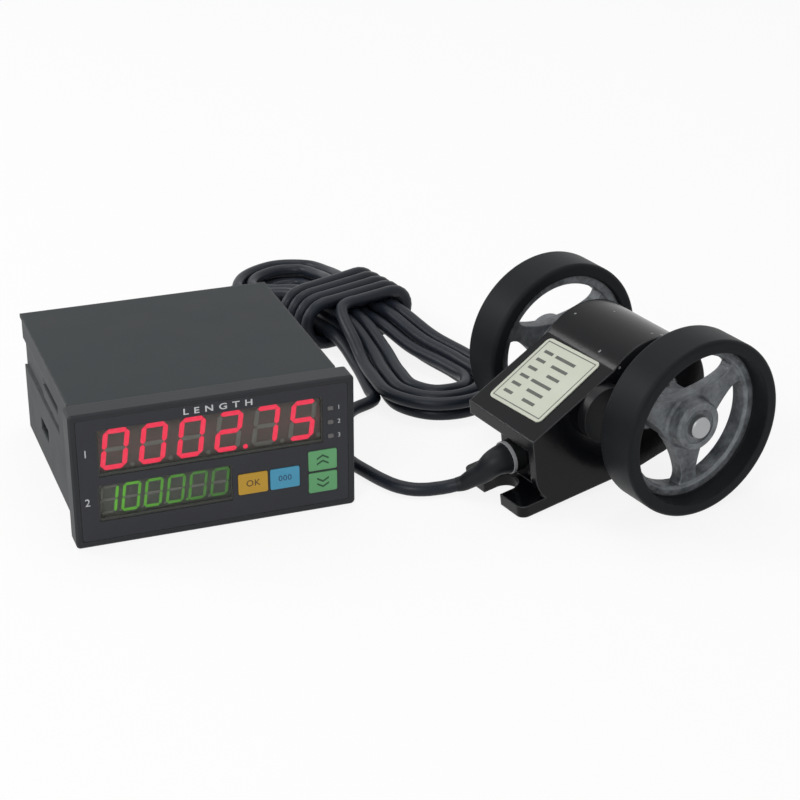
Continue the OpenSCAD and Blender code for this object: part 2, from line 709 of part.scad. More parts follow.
// The seven segments in the order top, top right, low right, bottom, low left, top left, middle
SHAPES = [[1,1,1,1,1,1,0], [0,1,1,0,0,0,0], [1,1,0,1,1,0,1], [1,1,1,1,0,0,1], [0,1,1,0,0,1,1],
    [1,0,1,1,0,1,1], [1,0,1,1,1,1,1], [1,1,1,0,0,0,0], [1,1,1,1,1,1,1], [1,1,1,1,0,1,1]];

// One segment: a bar with pointed ends
module bar(len, t) polygon([[-len / 2, 0], [-len / 2 + t / 2, t / 2], [len / 2 - t / 2, t / 2],
    [len / 2, 0], [len / 2 - t / 2, -t / 2], [-len / 2 + t / 2, -t / 2]]);

// The segments of a digit h tall, in strokes t wide, for which on[i] equals want
digit_shape = 0.5;
segment_gap = 0.2;
module digit(h, t, on, want) {
    w = h * digit_shape;
    half = (h - t) / 2;
    spots = [[0, half, 0], [w / 2, half / 2, 90], [w / 2, -half / 2, 90], [0, -half, 0],
        [-w / 2, -half / 2, 90], [-w / 2, half / 2, 90], [0, 0, 0]];
    multmatrix([[1, tan(digit_lean), 0, 0], [0, 1, 0, 0], [0, 0, 1, 0], [0, 0, 0, 1]])
        for (i = [0:6]) if (on[i] == want)
            translate([spots[i][0], spots[i][1]]) rotate(spots[i][2])
                bar((i % 3 == 0 ? w : half) - segment_gap, t);
}

// A row of six digits; point is the digit that the decimal point follows
module digits(value, h, t, pitch, x, z, want, point) {
    translate([x, module_front, z]) rotate([90, 0, 0]) linear_extrude(segment_t)
        for (i = [0:len(value) - 1]) translate([(i - (len(value) - 1) / 2) * pitch, 0]) {
            digit(h, t, SHAPES[value[i]], want);
            if ((i == point ? 1 : 0) == want)
                translate([h * 0.25 + pitch * 0.15, -h * 0.45]) circle(d = t, $fn = 16);
        }
}
module pv_digits() color([1, 0.12, 0.10]) place_counter()
    digits(PV_VALUE, pv_digit_h, pv_stroke, pv_pitch, pv_win_x, pv_win_z, 1, POINT_AFTER);
module sv_digits() color([0.45, 0.95, 0.25]) place_counter()
    digits(SV_VALUE, sv_digit_h, sv_stroke, sv_pitch, sv_win_x, sv_win_z, 1, POINT_AFTER);
module unlit_segments() color([0.42, 0.43, 0.38]) place_counter() {
    digits(PV_VALUE, pv_digit_h, pv_stroke, pv_pitch, pv_win_x, pv_win_z, 0, POINT_AFTER);
    digits(SV_VALUE, sv_digit_h, sv_stroke, sv_pitch, sv_win_x, sv_win_z, 0, POINT_AFTER);
}

module indicator_lamps() color([0.45, 0.42, 0.40]) place_counter()
    for (i = [-1, 0, 1])
        slab(lamp_w, lamp_h, overlay_front, board_front, lamp_x, lamp_z + i * lamp_pitch, 0.3);

// A key: a cap through the overlay, a flange behind the face that laps over and
// under its opening, and a stem to its switch
module key(w, h, x, z, over, under) place_counter() {
    slab(w, h, key_front, flange_front + key_flange, x, z, key_r);
    slab(w, h + over + under, flange_front, flange_front + key_flange, x, z + (over - under) / 2);
    slab(3, 3, flange_front, key_back, x, z);
}
module set_key() color([0.98, 0.66, 0.12]) key(key_w, key_h, set_x, key_z, key_lap, key_lap);
module reset_key() color([0.25, 0.68, 0.92]) key(key_w, key_h, reset_x, key_z, key_lap, key_lap);
module up_key() color([0.30, 0.78, 0.42])
    key(arrow_w, arrow_h, arrow_x, arrow_z + arrow_pitch / 2, key_lap, key_lap_between);
module down_key() color([0.30, 0.78, 0.42])
    key(arrow_w, arrow_h, arrow_x, arrow_z - arrow_pitch / 2, key_lap_between, key_lap);

switch_from = board_front - switch_tall;
switch_at = [[set_x, key_z], [reset_x, key_z],
    [arrow_x, arrow_z + arrow_pitch / 2], [arrow_x, arrow_z - arrow_pitch / 2]];
module key_switches() color([0.2, 0.2, 0.2]) place_counter() for (p = switch_at) {
    slab(switch_size, switch_size, switch_from + button_tall, board_front, p[0], p[1]);
    along_y(button_d / 2, switch_from, switch_from + button_tall + eps, p[0], p[1]);
}

module display_board() color([0.05, 0.35, 0.18]) place_counter()
    slab(bay_w - 2 * board_edge, bay_h - 2 * board_edge, board_front, board_back, 0, mid_z);

chip_size = 12;
chip_t = 2;
chip_at = [-20, mid_z + 6];
leg = [0.4, 0.4, 0.8];
leg_pitch = 1.2;
module control_chip() color([0.08, 0.08, 0.09]) place_counter() {
    slab(chip_size, chip_size, board_back, board_back + chip_t, chip_at[0], chip_at[1]);
    for (i = [-4:4], s = [-1, 1])
        translate([chip_at[0] + i * leg_pitch, board_back, chip_at[1] + s * (chip_size + leg[2]) / 2])
            translate([-leg[0] / 2, 0, -leg[2] / 2]) cube(leg);
}

// Right-angle pins between the display board and the main board
header = [28, 4.5, 2.5];
module board_header() color([0.1, 0.1, 0.1]) place_counter()
    translate([-header[0] / 2, board_back, main_top]) cube(header);

module main_board() color([0.05, 0.38, 0.2]) place_counter()
    translate([-bore_w / 2 + board_edge, main_from, main_floor])
        cube([bore_w - 2 * board_edge, main_len, board_t]);

trafo_at = [-22, 40];
window_w = 5;
yoke_t = 5;
coil_gap = 0.2;
coil_out = 6;
module place_trafo() place_counter() translate([trafo_at[0], trafo_at[1], main_top]) children();
module transformer_core() color([0.42, 0.42, 0.45]) place_trafo() difference() {
    translate([-trafo_len / 2, -trafo_w / 2 + coil_out, 0])
        cube([trafo_len, trafo_w - 2 * coil_out, trafo_h]);
    for (s = [-1, 1]) translate([s * trafo_len / 4 - window_w / 2, -trafo_w, yoke_t])
        cube([window_w, 2 * trafo_w, trafo_h - 2 * yoke_t]);
}
// The coil goes through both windows, round the middle limb
limb = trafo_len / 2 - window_w;
module transformer_coil() color([0.85, 0.75, 0.3]) place_trafo()
    translate([0, 0, yoke_t + coil_gap]) linear_extrude(trafo_h - 2 * yoke_t - 2 * coil_gap)
        difference() {
            square([limb + 2 * window_w - 2 * coil_gap, trafo_w], center = true);
            square([limb + 2 * coil_gap, trafo_w - 2 * coil_out + 2 * coil_gap], center = true);
        }

relay = [15, 20, 15.5];
relay_at = [7, 58];
relay_pitch = 17;
module output_relays() color([0.1, 0.25, 0.6]) place_counter()
    for (i = [0, 1]) translate([relay_at[0] + i * relay_pitch, relay_at[1], main_top]) cube(relay);

capacitor_at = [14, 36];
module smoothing_capacitor() color([0.12, 0.14, 0.3]) place_counter()
    translate([capacitor_at[0], capacitor_at[1], main_top]) cylinder(d = cap_d, h = cap_h);

// Across place of terminal i
function way_x(i) = (i - (ways - 1) / 2) * way_pitch;
cell_from = case_back - cell_deep;
cell_w = way_pitch - barrier_t;
cell_h = row_h - 2.4;
clamp_gap = 0.2;
slot_cut = [2 * term_head_d, 0.8, 0.7];
module terminal_block() color([0.08, 0.08, 0.08]) place_counter() difference() {
    union() {
        slab(plug_w, plug_h, plate_front, plate_back, 0, mid_z);
        for (z = row_zs) slab(row_w, row_h, plate_back - eps, case_back, 0, z);
    }
    for (z = row_zs, i = [0:ways - 1]) slab(cell_w, cell_h, cell_from, case_back + 1, way_x(i), z);
}
module wire_clamps() color([0.8, 0.78, 0.7]) place_counter() for (z = row_zs, i = [0:ways - 1])
    slab(cell_w - 2 * clamp_gap, cell_h - 2 * clamp_gap, cell_from, cell_from + clamp_t, way_x(i), z);
module terminal_screws() color([0.85, 0.83, 0.75]) place_counter()
    for (z = row_zs, i = [0:ways - 1])
        translate([way_x(i), cell_from + clamp_t, z]) rotate([-90, 0, 0]) difference() {
            cylinder(d = term_head_d, h = screw_tall, $fn = 24);
            translate([-slot_cut[0] / 2, -slot_cut[1] / 2, screw_tall - slot_cut[2]]) cube(slot_cut + [0, 0, 1]);
        }

// ============================== encoder =====================================

// Side outline of the housing: round end, sloped face, nose, rounded lower corner
module housing_outline() {
    circle(r = cyl_r, $fn = 96);
    polygon([[-nose_reach, nose_rise], [-slope_r * sin(slope), slope_r * cos(slope)], [0, 0],
        [2, -cyl_r + 0.1], [-8, -base_drop], [-nose_reach + corner_r, -base_drop],
        [-nose_reach, -base_drop + corner_r]]);
    translate([-nose_reach + corner_r, -base_drop + corner_r]) circle(r = corner_r, $fn = 64);
}

// Foot plate with its open slot, seen from above
foot_round = 3;
module foot_outline() difference() {
    near_v = -body_w / 2;
    far_v = body_w / 2 - foot_step;
    translate([-foot_reach + foot_round, 0]) union() {
        translate([0, near_v]) square([foot_reach - nose_reach + corner_r - foot_round, far_v - near_v]);
        translate([-foot_round, near_v + foot_round])
            square([foot_round + eps, far_v - near_v - 2 * foot_round]);
        for (v = [near_v + foot_round, far_v - foot_round]) translate([0, v]) circle(r = foot_round, $fn = 32);
    }
    translate([-foot_reach + slot_deep - slot_w / 2, -slot_off]) circle(d = slot_w, $fn = 48);
    translate([-foot_reach - 1, -slot_off - slot_w / 2]) square([slot_deep - slot_w / 2 + 1, slot_w]);
}

module side_profile(w) rotate([90, 0, 0]) linear_extrude(w, center = true) children();

module encoder_housing() color([0.06, 0.06, 0.07]) place_encoder() difference() {
    union() {
        side_profile(body_w) housing_outline();
        translate([0, 0, -base_drop]) linear_extrude(foot_t) foot_outline();
    }
    // Recess for the cable between the cheeks
    translate([-foot_reach, -recess_w / 2, foot_top])
        cube([foot_reach + recess_back, recess_w, recess_top - foot_top]);
    // Open corner under the far side of the nose, with the foot stepped in beside it
    corner_block(0, foot_top, recess_top);
    translate([0, body_w / 2 - foot_step - corner_from, 0]) corner_block(0, -base_drop - 1, foot_top + eps);
    // Hollow for the disc and the sensor, left solid round the bearings and the corner
    difference() {
        side_profile(cav_w) hollow_outline();
        both_sides() along_y(seat_r, bearing_in - seat_lip, body_w / 2, fn = 64);
        corner_block(shell_t, -base_drop - 1, cyl_r);
    }
    both_sides() {
        along_y(bearing_r + axle_gap, bearing_in, body_w / 2 + 1, fn = 64);
        along_y(bearing_r - 2, bearing_in - seat_lip - 1, body_w / 2, fn = 64);
    }
    // Hatch in the base, with a seat for its cover
    translate([cover_mid - hatch_l / 2, -hatch_w / 2, -base_drop - 1]) cube([hatch_l, hatch_w, 5]);
    translate([cover_mid, 0, -base_drop - 1]) linear_extrude(cover_t + 1.1)
        round_rect(cover_l + 2 * fit_gap, cover_w + 2 * fit_gap, 2);
    cover_holes(0.9, -base_drop, 6);
    // Gland bore and the bore behind the side cap
    translate([recess_back - 1, 0, gland_z]) rotate([0, 90, 0]) cylinder(d = gland_bore_d, h = shell_t + 2);
    along_y(cap_r - 2 + fit_gap, -body_w / 2 - 1, -cav_w / 2 + 1, -cap_u, cap_rise);
}

// The far corner under the nose, grown by a wall's thickness where it bounds the hollow
module corner_block(grow, z0, z1) translate([-foot_reach - 1, corner_from - grow, z0])
    cube([foot_reach + 1 + corner_to + grow, body_w, z1 - z0]);

// Side outline of the hollow, a wall's thickness inside the housing
module hollow_outline() {
    inner_z = nose_rise + (nose_reach + cav_front) * tan(slope) - shell_t / cos(slope);
    slope_top = -slope_r * sin(slope);
    circle(r = cav_r, $fn = 96);
    polygon([[cav_front, inner_z], [slope_top, inner_z + (slope_top - cav_front) * tan(slope)],
        [0, 0], [-6, -base_drop + 4], [cav_front + 2, -base_drop + 4], [cav_front, -base_drop + 6.6]]);
}

cover_inset = 1.6;
module at_cover_screws() for (sx = [-1, 1], sy = [-1, 1])
    translate([cover_mid + sx * (cover_l / 2 - cover_inset), sy * (cover_w / 2 - cover_inset), 0]) children();
module cover_holes(r, z, len) at_cover_screws() translate([0, 0, z]) cylinder(r = r, h = len, $fn = 24);

cover_in = 0.1;
module base_cover() color([0.09, 0.09, 0.10]) place_encoder() difference() {
    translate([cover_mid, 0, -base_drop + cover_in]) linear_extrude(cover_t - cover_in)
        round_rect(cover_l, cover_w, 2);
    cover_holes(cover_screw_d / 2, -base_drop - 1, 1.9);
    cover_holes(1.1, -base_drop - 1, 6);
}
module cover_screws() color([0.6, 0.6, 0.62]) place_encoder() difference() {
    union() {
        cover_holes(cover_screw_d / 2 - 0.1, -base_drop + cover_in, 0.8);
        cover_holes(0.8, -base_drop + cover_in, 5.5);
    }
    at_cover_screws() translate([-2, -0.25, -base_drop]) cube([4, 0.5, 0.5]);
}

module side_cap() color([0.12, 0.12, 0.13]) place_encoder() {
    along_y(cap_r, -body_w / 2 - cap_out, -body_w / 2, -cap_u, cap_rise);
    along_y(cap_r - 2, -body_w / 2 - eps, -cav_w / 2, -cap_u, cap_rise);
}

module rating_plate() color([0.74, 0.75, 0.66]) place_encoder()
    translate([-nose_reach, 0, nose_rise]) rotate([0, -slope, 0]) translate(plate_at) rotate(plate_turn)
        linear_extrude(plate_thick) round_rect(plate_size[0], plate_size[1], 2);

module bearing() difference() {
    along_y(bearing_r, bearing_in + 0.05, body_w / 2 - 0.05, fn = 64);
    along_y(axle_d / 2 + axle_gap, bearing_in - 1, body_w / 2 + 1);
    // Shield groove on the outer face
    difference() {
        along_y(bearing_r - 1.6, body_w / 2 - 0.5, body_w / 2 + 1, fn = 64);
        along_y(axle_d / 2 + 2, body_w / 2 - 1, body_w / 2 + 2);
    }
}
module far_bearing() color([0.7, 0.7, 0.72]) place_encoder() bearing();
module near_bearing() color([0.7, 0.7, 0.72]) place_encoder() mirror([0, 1, 0]) bearing();

axle_chamfer = 0.5;
module wheel_axle() color([0.78, 0.78, 0.8]) place_encoder() rotate([90, 0, 0]) {
    r = axle_d / 2;
    half = axle_len / 2;
    rotate_extrude() polygon([[0, -half], [r - axle_chamfer, -half], [r, axle_chamfer - half],
        [r, half - axle_chamfer], [r - axle_chamfer, half], [0, half]]);
}

module axle_spacers() color([0.6, 0.6, 0.62]) place_encoder() both_sides() difference() {
    along_y(axle_d / 2 + 2, body_w / 2 + axle_gap, boss_in);
    along_y(axle_d / 2, body_w / 2 - 1, boss_in + 1);
}

// One wheel hub on the +Y side: boss, tapered spokes and rim, in one casting
module hub() {
    difference() {
        union() {
            rotate([-90, 0, 0]) rotate_extrude($fn = 64) polygon([[0, boss_in], [boss_r, boss_in],
                [boss_r, web_face - spoke_t - boss_fillet], [boss_r + boss_fillet, web_face - spoke_t],
                [boss_r + boss_fillet, web_face], [boss_r + 0.4 * boss_fillet, web_face + 0.4 * boss_fillet],
                [boss_r, web_face + 2 * boss_fillet], [boss_r, boss_end - 0.6], [boss_r - 0.6, boss_end],
                [0, boss_end]]);
            rotate([-90, 0, 0]) rotate_extrude($fn = 96) polygon([[rim_r - rim_t, rim_face - rim_w + 0.5],
                [rim_r - rim_t + 0.5, rim_face - rim_w], [rim_r, rim_face - rim_w], [rim_r, rim_face],
                [rim_r - rim_t + 0.8, rim_face], [rim_r - rim_t, rim_face - 0.8]]);
            translate([0, web_face, 0]) rotate([90, 0, 0]) linear_extrude(spoke_t)
                for (i = [0:spokes - 1]) rotate(spoke_turn + i * 360 / spokes) spoke();
        }
        along_y(axle_d / 2, 0, wheel_out, fn = 48);
        // Counterbore round the end of the axle
        along_y(axle_d / 2 + 2.2, boss_end - 0.9, wheel_out, fn = 48);
        // Tapped hole for the grub screw
        translate([0, boss_in + grub_in, 0]) cylinder(d = grub_d, h = boss_r + 2, $fn = 24);
    }
}
spoke_turn = 27;
boss_fillet = 1.2;
grub_d = 3;
grub_in = 3;
// Half the width of a spoke at x from the axle: it narrows in one sweep from where its
// edge meets its neighbour's, and flares into the rim
half_angle = 180 / spokes;
sweep_from = [web_r * cos(half_angle), web_r * sin(half_angle)];
sweep_len = 2 * (sweep_from[1] - spoke_w / 2) * tan(half_angle);
spoke_end = rim_r - rim_t + 1;
flare_len = 7;
flare_w = 3;
function spoke_half(x) = spoke_w / 2
    + (sweep_from[1] - spoke_w / 2) * pow(max(0, 1 - (x - sweep_from[0]) / sweep_len), 2)
    + flare_w * pow(max(0, 1 - (spoke_end - x) / flare_len), 3);
module spoke() {
    xs = [for (i = [0:14]) sweep_from[0] + (spoke_end - sweep_from[0]) * i / 14];
    polygon(concat([[0, 0]], [for (x = xs) [x, spoke_half(x)]],
        [for (i = [14:-1:0]) [xs[i], -spoke_half(xs[i])]]));
}

module far_hub() color([0.50, 0.50, 0.50]) place_encoder() hub();
module near_hub() color([0.50, 0.50, 0.50]) place_encoder() mirror([0, 1, 0]) hub();

module hub_screws() color([0.3, 0.3, 0.32]) place_encoder() both_sides()
    translate([0, boss_in + grub_in, axle_d / 2]) difference() {
        cylinder(d = grub_d, h = 4.5, $fn = 24);
        translate([0, 0, 3.3]) cylinder(d = 1.5, h = 3, $fn = 6);
    }

// A tyre on the +Y side: solid rubber band with rounded edges and a lip past the rim
module tyre() {
    y0 = wheel_out - tyre_w;
    y1 = wheel_out;
    bed_from = rim_face - rim_w - 0.3;
    bed_to = rim_face + 0.3;
    lip_r = rim_r + 0.4;
    c = [wheel_r - tyre_round, y1 - tyre_round, y0 + tyre_round];
    rotate([-90, 0, 0]) rotate_extrude($fn = 128) polygon(concat(
        [[lip_r, y0], [lip_r, bed_from], [rim_r, bed_from], [rim_r, bed_to], [lip_r, bed_to], [lip_r, y1]],
        [for (a = [90:-22.5:0]) [c[0] + tyre_round * cos(a), c[1] + tyre_round * sin(a)]],
        [for (a = [0:-22.5:-90]) [c[0] + tyre_round * cos(a), c[2] + tyre_round * sin(a)]]));
}
module far_tyre() color([0.05, 0.05, 0.05]) place_encoder() tyre();
module near_tyre() color([0.05, 0.05, 0.05]) place_encoder() mirror([0, 1, 0]) tyre();

module code_disc() color([0.75, 0.75, 0.77]) place_encoder() difference() {
    union() {
        along_y(disc_d / 2, -disc_t / 2, disc_t / 2, fn = 96);
        along_y(disc_hub_r, -disc_hub_w / 2, disc_hub_w / 2);
    }
    along_y(axle_d / 2, -disc_hub_w, disc_hub_w);
    for (i = [0:disc_slots - 1]) rotate([0, i * 360 / disc_slots, 0])
        translate([disc_d / 2 - 4, -disc_t, -0.45]) cube([3, 2 * disc_t, 0.9]);
}

// The fork that the disc's edge turns through
module optical_sensor() color([0.1, 0.1, 0.1]) place_encoder() difference() {
    translate([board_y + board_t, -6, -4]) cube([disc_hub_r + 5, 12, 8]);
    translate([board_y + board_t + 4.5, -1.5, -5]) cube([20, 3, 10]);
}
module sensor_board() color([0.05, 0.38, 0.2]) place_encoder()
    translate([board_y, -cav_w / 2 + sensor_side, sensor_low])
        cube([board_t, cav_w - 2 * sensor_side, sensor_tall]);

// =============================== cable ======================================

// A point of the encoder, given along its foot, across and up from the axle, in the row's place
function enc_point(u, v, w) =
    let (x = u * cos(enc_tilt) - w * sin(enc_tilt), z = u * sin(enc_tilt) + w * cos(enc_tilt))
    [shift[0] + enc_x + x * cos(enc_turn) - v * sin(enc_turn),
     shift[1] + enc_y + x * sin(enc_turn) + v * cos(enc_turn), wheel_r + z];

// Cable gland: a ring outside the wall, a shank through it and a nut inside
module gland_ring() color([0.72, 0.72, 0.72]) place_encoder()
    translate([recess_back, 0, gland_z]) rotate([0, 90, 0]) difference() {
        union() {
            translate([0, 0, -gland_out]) cylinder(d = relief_d + 0.8, h = gland_out);
            translate([0, 0, -eps]) cylinder(d = gland_bore_d, h = shell_t + 2 * eps);
            translate([0, 0, shell_t]) cylinder(d = gland_bore_d + 3, h = 2, $fn = 6);
        }
        translate([0, 0, -gland_out - 1]) cylinder(d = cable_d + 2 * axle_gap, h = 20);
    }
// The end of the cable inside the gland, with its plug on the sensor board
module sensor_lead() color([0.12, 0.12, 0.12]) place_encoder() {
    translate([recess_back - gland_out, 0, gland_z]) rotate([0, 90, 0])
        cylinder(d = cable_d, h = board_y - 4 - recess_back + gland_out);
    translate([board_y - 4, -5, gland_z - 2.5]) cube([4, 10, 5]);
}

relief_from = enc_point(recess_back - gland_out, 0, gland_z);
relief_dir = unit(relief_from - enc_point(0, 0, gland_z));
relief_path = concat([relief_from], spline(concat([relief_from + 4 * relief_dir], relief_pts,
    [relief_end - cable_d / 2 * relief_end_dir]), 3), [relief_end]);
module strain_relief() color([0.16, 0.16, 0.17])
    tube(relief_path, [for (i = [0:len(relief_path) - 1]) let (u = i / (len(relief_path) - 1))
        relief_d / 2 * (1 - u) + (cable_d / 2 + 0.5) * u], 12);

run_path = concat([relief_end], spline(concat([relief_end + cable_d * relief_end_dir], run_pts,
    [hank_start - 7 * hank_start_dir]), 2), [hank_start]);
module cable_run() color([0.12, 0.12, 0.12]) tube(run_path, [for (q = run_path) cable_d / 2], 8, 0);
module cable_hank() color([0.12, 0.12, 0.12]) tube(hank_pts, [for (q = hank_pts) cable_d / 2], 6, 0);
tail_path = concat([hank_end],
    spline(concat([hank_end + 12 * hank_end_dir, hank_end + 24 * hank_end_dir], tail_pts), 2));
module cable_tail() color([0.12, 0.12, 0.12]) tube(tail_path, [for (q = tail_path) cable_d / 2], 8, 0);

// Four cores fan out from the sheath to four screws of the lower row
tail_end = tail_pts[len(tail_pts) - 1];
tail_end_dir = dir_at(tail_path, len(tail_path) - 1);
tail_side = unit(cross(tail_end_dir, [0, 0, 1]));
tail_up = cross(tail_side, tail_end_dir);
core_off = 0.78;
core_gap = 0.25;
core_steps = 7;
// A smooth bend from a, leaving along da, to b, arriving along db
function bend_at(a, da, db, b, u) = let (v = 1 - u)
    v * v * v * a + 3 * v * v * u * (a + da) + 3 * v * u * u * (b - db) + u * u * u * b;
module cable_cores() for (i = [0:3]) {
    a = tail_end + core_gap * tail_end_dir + core_off * (i < 2 ? 1 : -1) * tail_side
      + core_off * (i % 3 == 0 ? -1 : 1) * tail_up;
    b = [shift[0] + (6 + i - (ways - 1) / 2) * way_pitch, shift[1] + case_back - 1, 12.6];
    path = [for (k = [0:core_steps]) bend_at(a, 5 * tail_end_dir, [0, -6, 0], b, k / core_steps)];
    color([[0.7, 0.1, 0.1], [0.1, 0.1, 0.1], [0.1, 0.5, 0.2], [0.8, 0.8, 0.8]][i])
        tube(path, [for (q = path) core_d / 2], 8);
}

counter_case();
front_bezel();
front_overlay();
pv_window();
sv_window();
pv_display();
sv_display();
pv_digits();
sv_digits();
unlit_segments();
indicator_lamps();
set_key();
reset_key();
up_key();
down_key();
key_switches();
display_board();
control_chip();
board_header();
main_board();
transformer_core();
transformer_coil();
output_relays();
smoothing_capacitor();
terminal_block();
terminal_screws();
wire_clamps();
encoder_housing();
side_cap();
base_cover();
cover_screws();
rating_plate();
near_bearing();
far_bearing();
wheel_axle();
axle_spacers();
near_hub();
far_hub();
near_tyre();
far_tyre();
hub_screws();
code_disc();
optical_sensor();
sensor_board();
gland_ring();
sensor_lead();
strain_relief();
cable_run();
cable_hank();
cable_tail();
cable_cores();
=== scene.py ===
import math

import bmesh
import bpy
from mathutils import Matrix, Vector


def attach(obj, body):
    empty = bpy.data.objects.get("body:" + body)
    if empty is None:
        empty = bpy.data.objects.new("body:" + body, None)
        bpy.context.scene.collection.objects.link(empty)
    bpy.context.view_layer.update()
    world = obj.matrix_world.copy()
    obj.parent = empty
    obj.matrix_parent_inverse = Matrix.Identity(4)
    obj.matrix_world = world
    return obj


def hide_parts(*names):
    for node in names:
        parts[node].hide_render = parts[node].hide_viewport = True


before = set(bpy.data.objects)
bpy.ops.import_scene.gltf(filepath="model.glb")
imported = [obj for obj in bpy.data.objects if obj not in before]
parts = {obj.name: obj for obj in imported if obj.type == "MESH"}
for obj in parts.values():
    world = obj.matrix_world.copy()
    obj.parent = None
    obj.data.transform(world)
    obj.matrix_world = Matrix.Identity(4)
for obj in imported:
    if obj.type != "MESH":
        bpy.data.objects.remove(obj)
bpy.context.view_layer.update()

# ---------------------------------------------------------------- the view
# Seen from the front, from the left and from above, with a long lens, so that
# the counter's face, its top and left side and the encoder's near wheel show.
camera = bpy.data.objects.new("camera", bpy.data.cameras.new("camera"))
bpy.context.scene.collection.objects.link(camera)
bpy.context.scene.camera = camera
camera.data.sensor_fit = "HORIZONTAL"
camera.data.sensor_width = 36
camera.data.lens = 89.62
camera.data.clip_start = 0.05
camera_at = (-0.21518, -0.58724, 0.32832)
yaw, pitch, roll = (math.radians(angle) for angle in (20.3917, 25.8164, 0.5176))
ahead = Vector((math.sin(yaw) * math.cos(pitch), math.cos(yaw) * math.cos(pitch), -math.sin(pitch)))
level = Vector((math.cos(yaw), -math.sin(yaw), 0))
upward = level.cross(ahead)
across = level * math.cos(roll) + upward * math.sin(roll)
upright = upward * math.cos(roll) - level * math.sin(roll)
facing = Matrix((across, upright, -ahead)).transposed().to_4x4()
camera.matrix_world = Matrix.Translation(camera_at) @ facing

# --------------------------------------------------------------- the cable
# A screened signal cable, 4.8 mm thick, in a soft black sheath: it runs from the
# encoder's gland along the table to a hank of five loops, tied round the waist
# with its own end, and on to the terminals at the back of the counter.
MM = 0.001
CABLE_R = 2.4
STRAND = 5.4
LAYER = STRAND + 0.2
LOOPS, WRAPS = 5, 5
LOOP_RINGS = 24
FIRST_RING, LAST_RING = -3, LOOPS * LOOP_RINGS - 2
TURNS_IN = LOOPS / 2
INNER_HALF = 0.36 * STRAND
LOBE_FILL = 27
FAR_LOBE, NEAR_LOBE = 51, 80
RAMP_END, RAMP_LENGTH = 50, 36
WRAP_R = STRAND + LAYER / 2 + 0.05
WRAP_HALF = INNER_HALF + (TURNS_IN - 0.25) * STRAND + 0.5
WRAP_X, WRAP_Y = -0.25 * STRAND, -12.8
WRAP_STEP = STRAND + 0.3
FIRST_TURN, LAST_TURN = 0.07, WRAPS - 0.3
LEAVE_PULL, ARRIVE_PULL, LIFT_OFF = 24, 22, 12
WAIST = Vector((22.8, 115.5))
HANK_TURN = math.radians(16)
HANK_BEND = 370


def innermost(ring):
    """Ring of the innermost loop: narrow at the waist, wide in both lobes."""
    turn = math.tau * ring / LOOP_RINGS
    angle = turn + math.radians(3.4) * (math.sin(2 * turn) - math.sin(4 * turn))
    rise = math.sin(angle)
    lobe = FAR_LOBE if rise > 0 else NEAR_LOBE
    return Vector((-math.cos(angle) * (INNER_HALF + LOBE_FILL * abs(rise) ** 3), lobe * rise))


def outward(ring):
    """The way out from a ring that keeps neighbouring strands the same distance apart."""
    before, after = (innermost(ring + k) - innermost(ring + k - 1) for k in (0, 1))
    before = Vector((-before.y, before.x)).normalized()
    after = Vector((-after.y, after.x)).normalized()
    return (before + after) / (1 + before.dot(after))


def ease(share):
    """Goes from 0 to 1 without a corner at either end."""
    share = min(max(share, 0), 1)
    return share * share * (3 - 2 * share)


def looped(ring):
    """Ring of the five loops, which lie in two layers and rise at the waist."""
    turn = ring / LOOP_RINGS - TURNS_IN
    flat = innermost(ring) + STRAND * abs(turn) * outward(ring)
    layer = LAYER * min(max(2 * turn + 0.5, 0), 1)
    lift = STRAND * ease((RAMP_END - abs(flat.y)) / RAMP_LENGTH)
    return Vector((flat.x, flat.y, CABLE_R + layer + lift))


def wrapped(turn):
    """Point of the wraps, a coil with flat sides round the waist."""
    side, end = 2 * WRAP_HALF, math.pi * WRAP_R
    along = 2 * (side + end) * (turn - math.floor(turn))
    if along < side:
        x, z = along - WRAP_HALF, WRAP_R
    elif along < side + end:
        angle = math.pi * (0.5 - (along - side) / end)
        x, z = WRAP_HALF + WRAP_R * math.cos(angle), WRAP_R * math.sin(angle)
    elif along < 2 * side + end:
        x, z = WRAP_HALF - (along - side - end), -WRAP_R
    else:
        angle = -math.pi * (0.5 + (along - 2 * side - end) / end)
        x, z = WRAP_R * math.cos(angle) - WRAP_HALF, WRAP_R * math.sin(angle)
    return Vector((x + WRAP_X, WRAP_STEP * turn + WRAP_Y, CABLE_R + WRAP_R + z))


def bend(share, start, leave, arrive, end):
    """A point of a bend from start to end, which leaves and arrives along these two ways."""
    square = share * share
    return (((2 * share - 3) * square + 1) * start + (square * share - 2 * square + share) * leave
            + (3 - 2 * share) * square * end + (share - 1) * square * arrive)


def turned_over(share):
    """Between the last loop and the first wrap, where the strand turns over."""
    start, end = looped(LAST_RING), wrapped(FIRST_TURN)
    leave = LEAVE_PULL * (start - looped(LAST_RING - 1)).normalized() + Vector((0, 0, LIFT_OFF))
    arrive = ARRIVE_PULL * (wrapped(FIRST_TURN + 0.01) - end).normalized()
    return bend(share, start, leave, arrive, end)


def in_row(point):
    """The hank lies in a slight bend beside the counter."""
    heading = HANK_TURN + point.y / HANK_BEND
    return Vector((
        WAIST.x + HANK_BEND * (math.cos(heading) - math.cos(HANK_TURN)) + point.x * math.cos(heading),
        WAIST.y + HANK_BEND * (math.sin(heading) - math.sin(HANK_TURN)) + point.x * math.sin(heading),
        point.z))


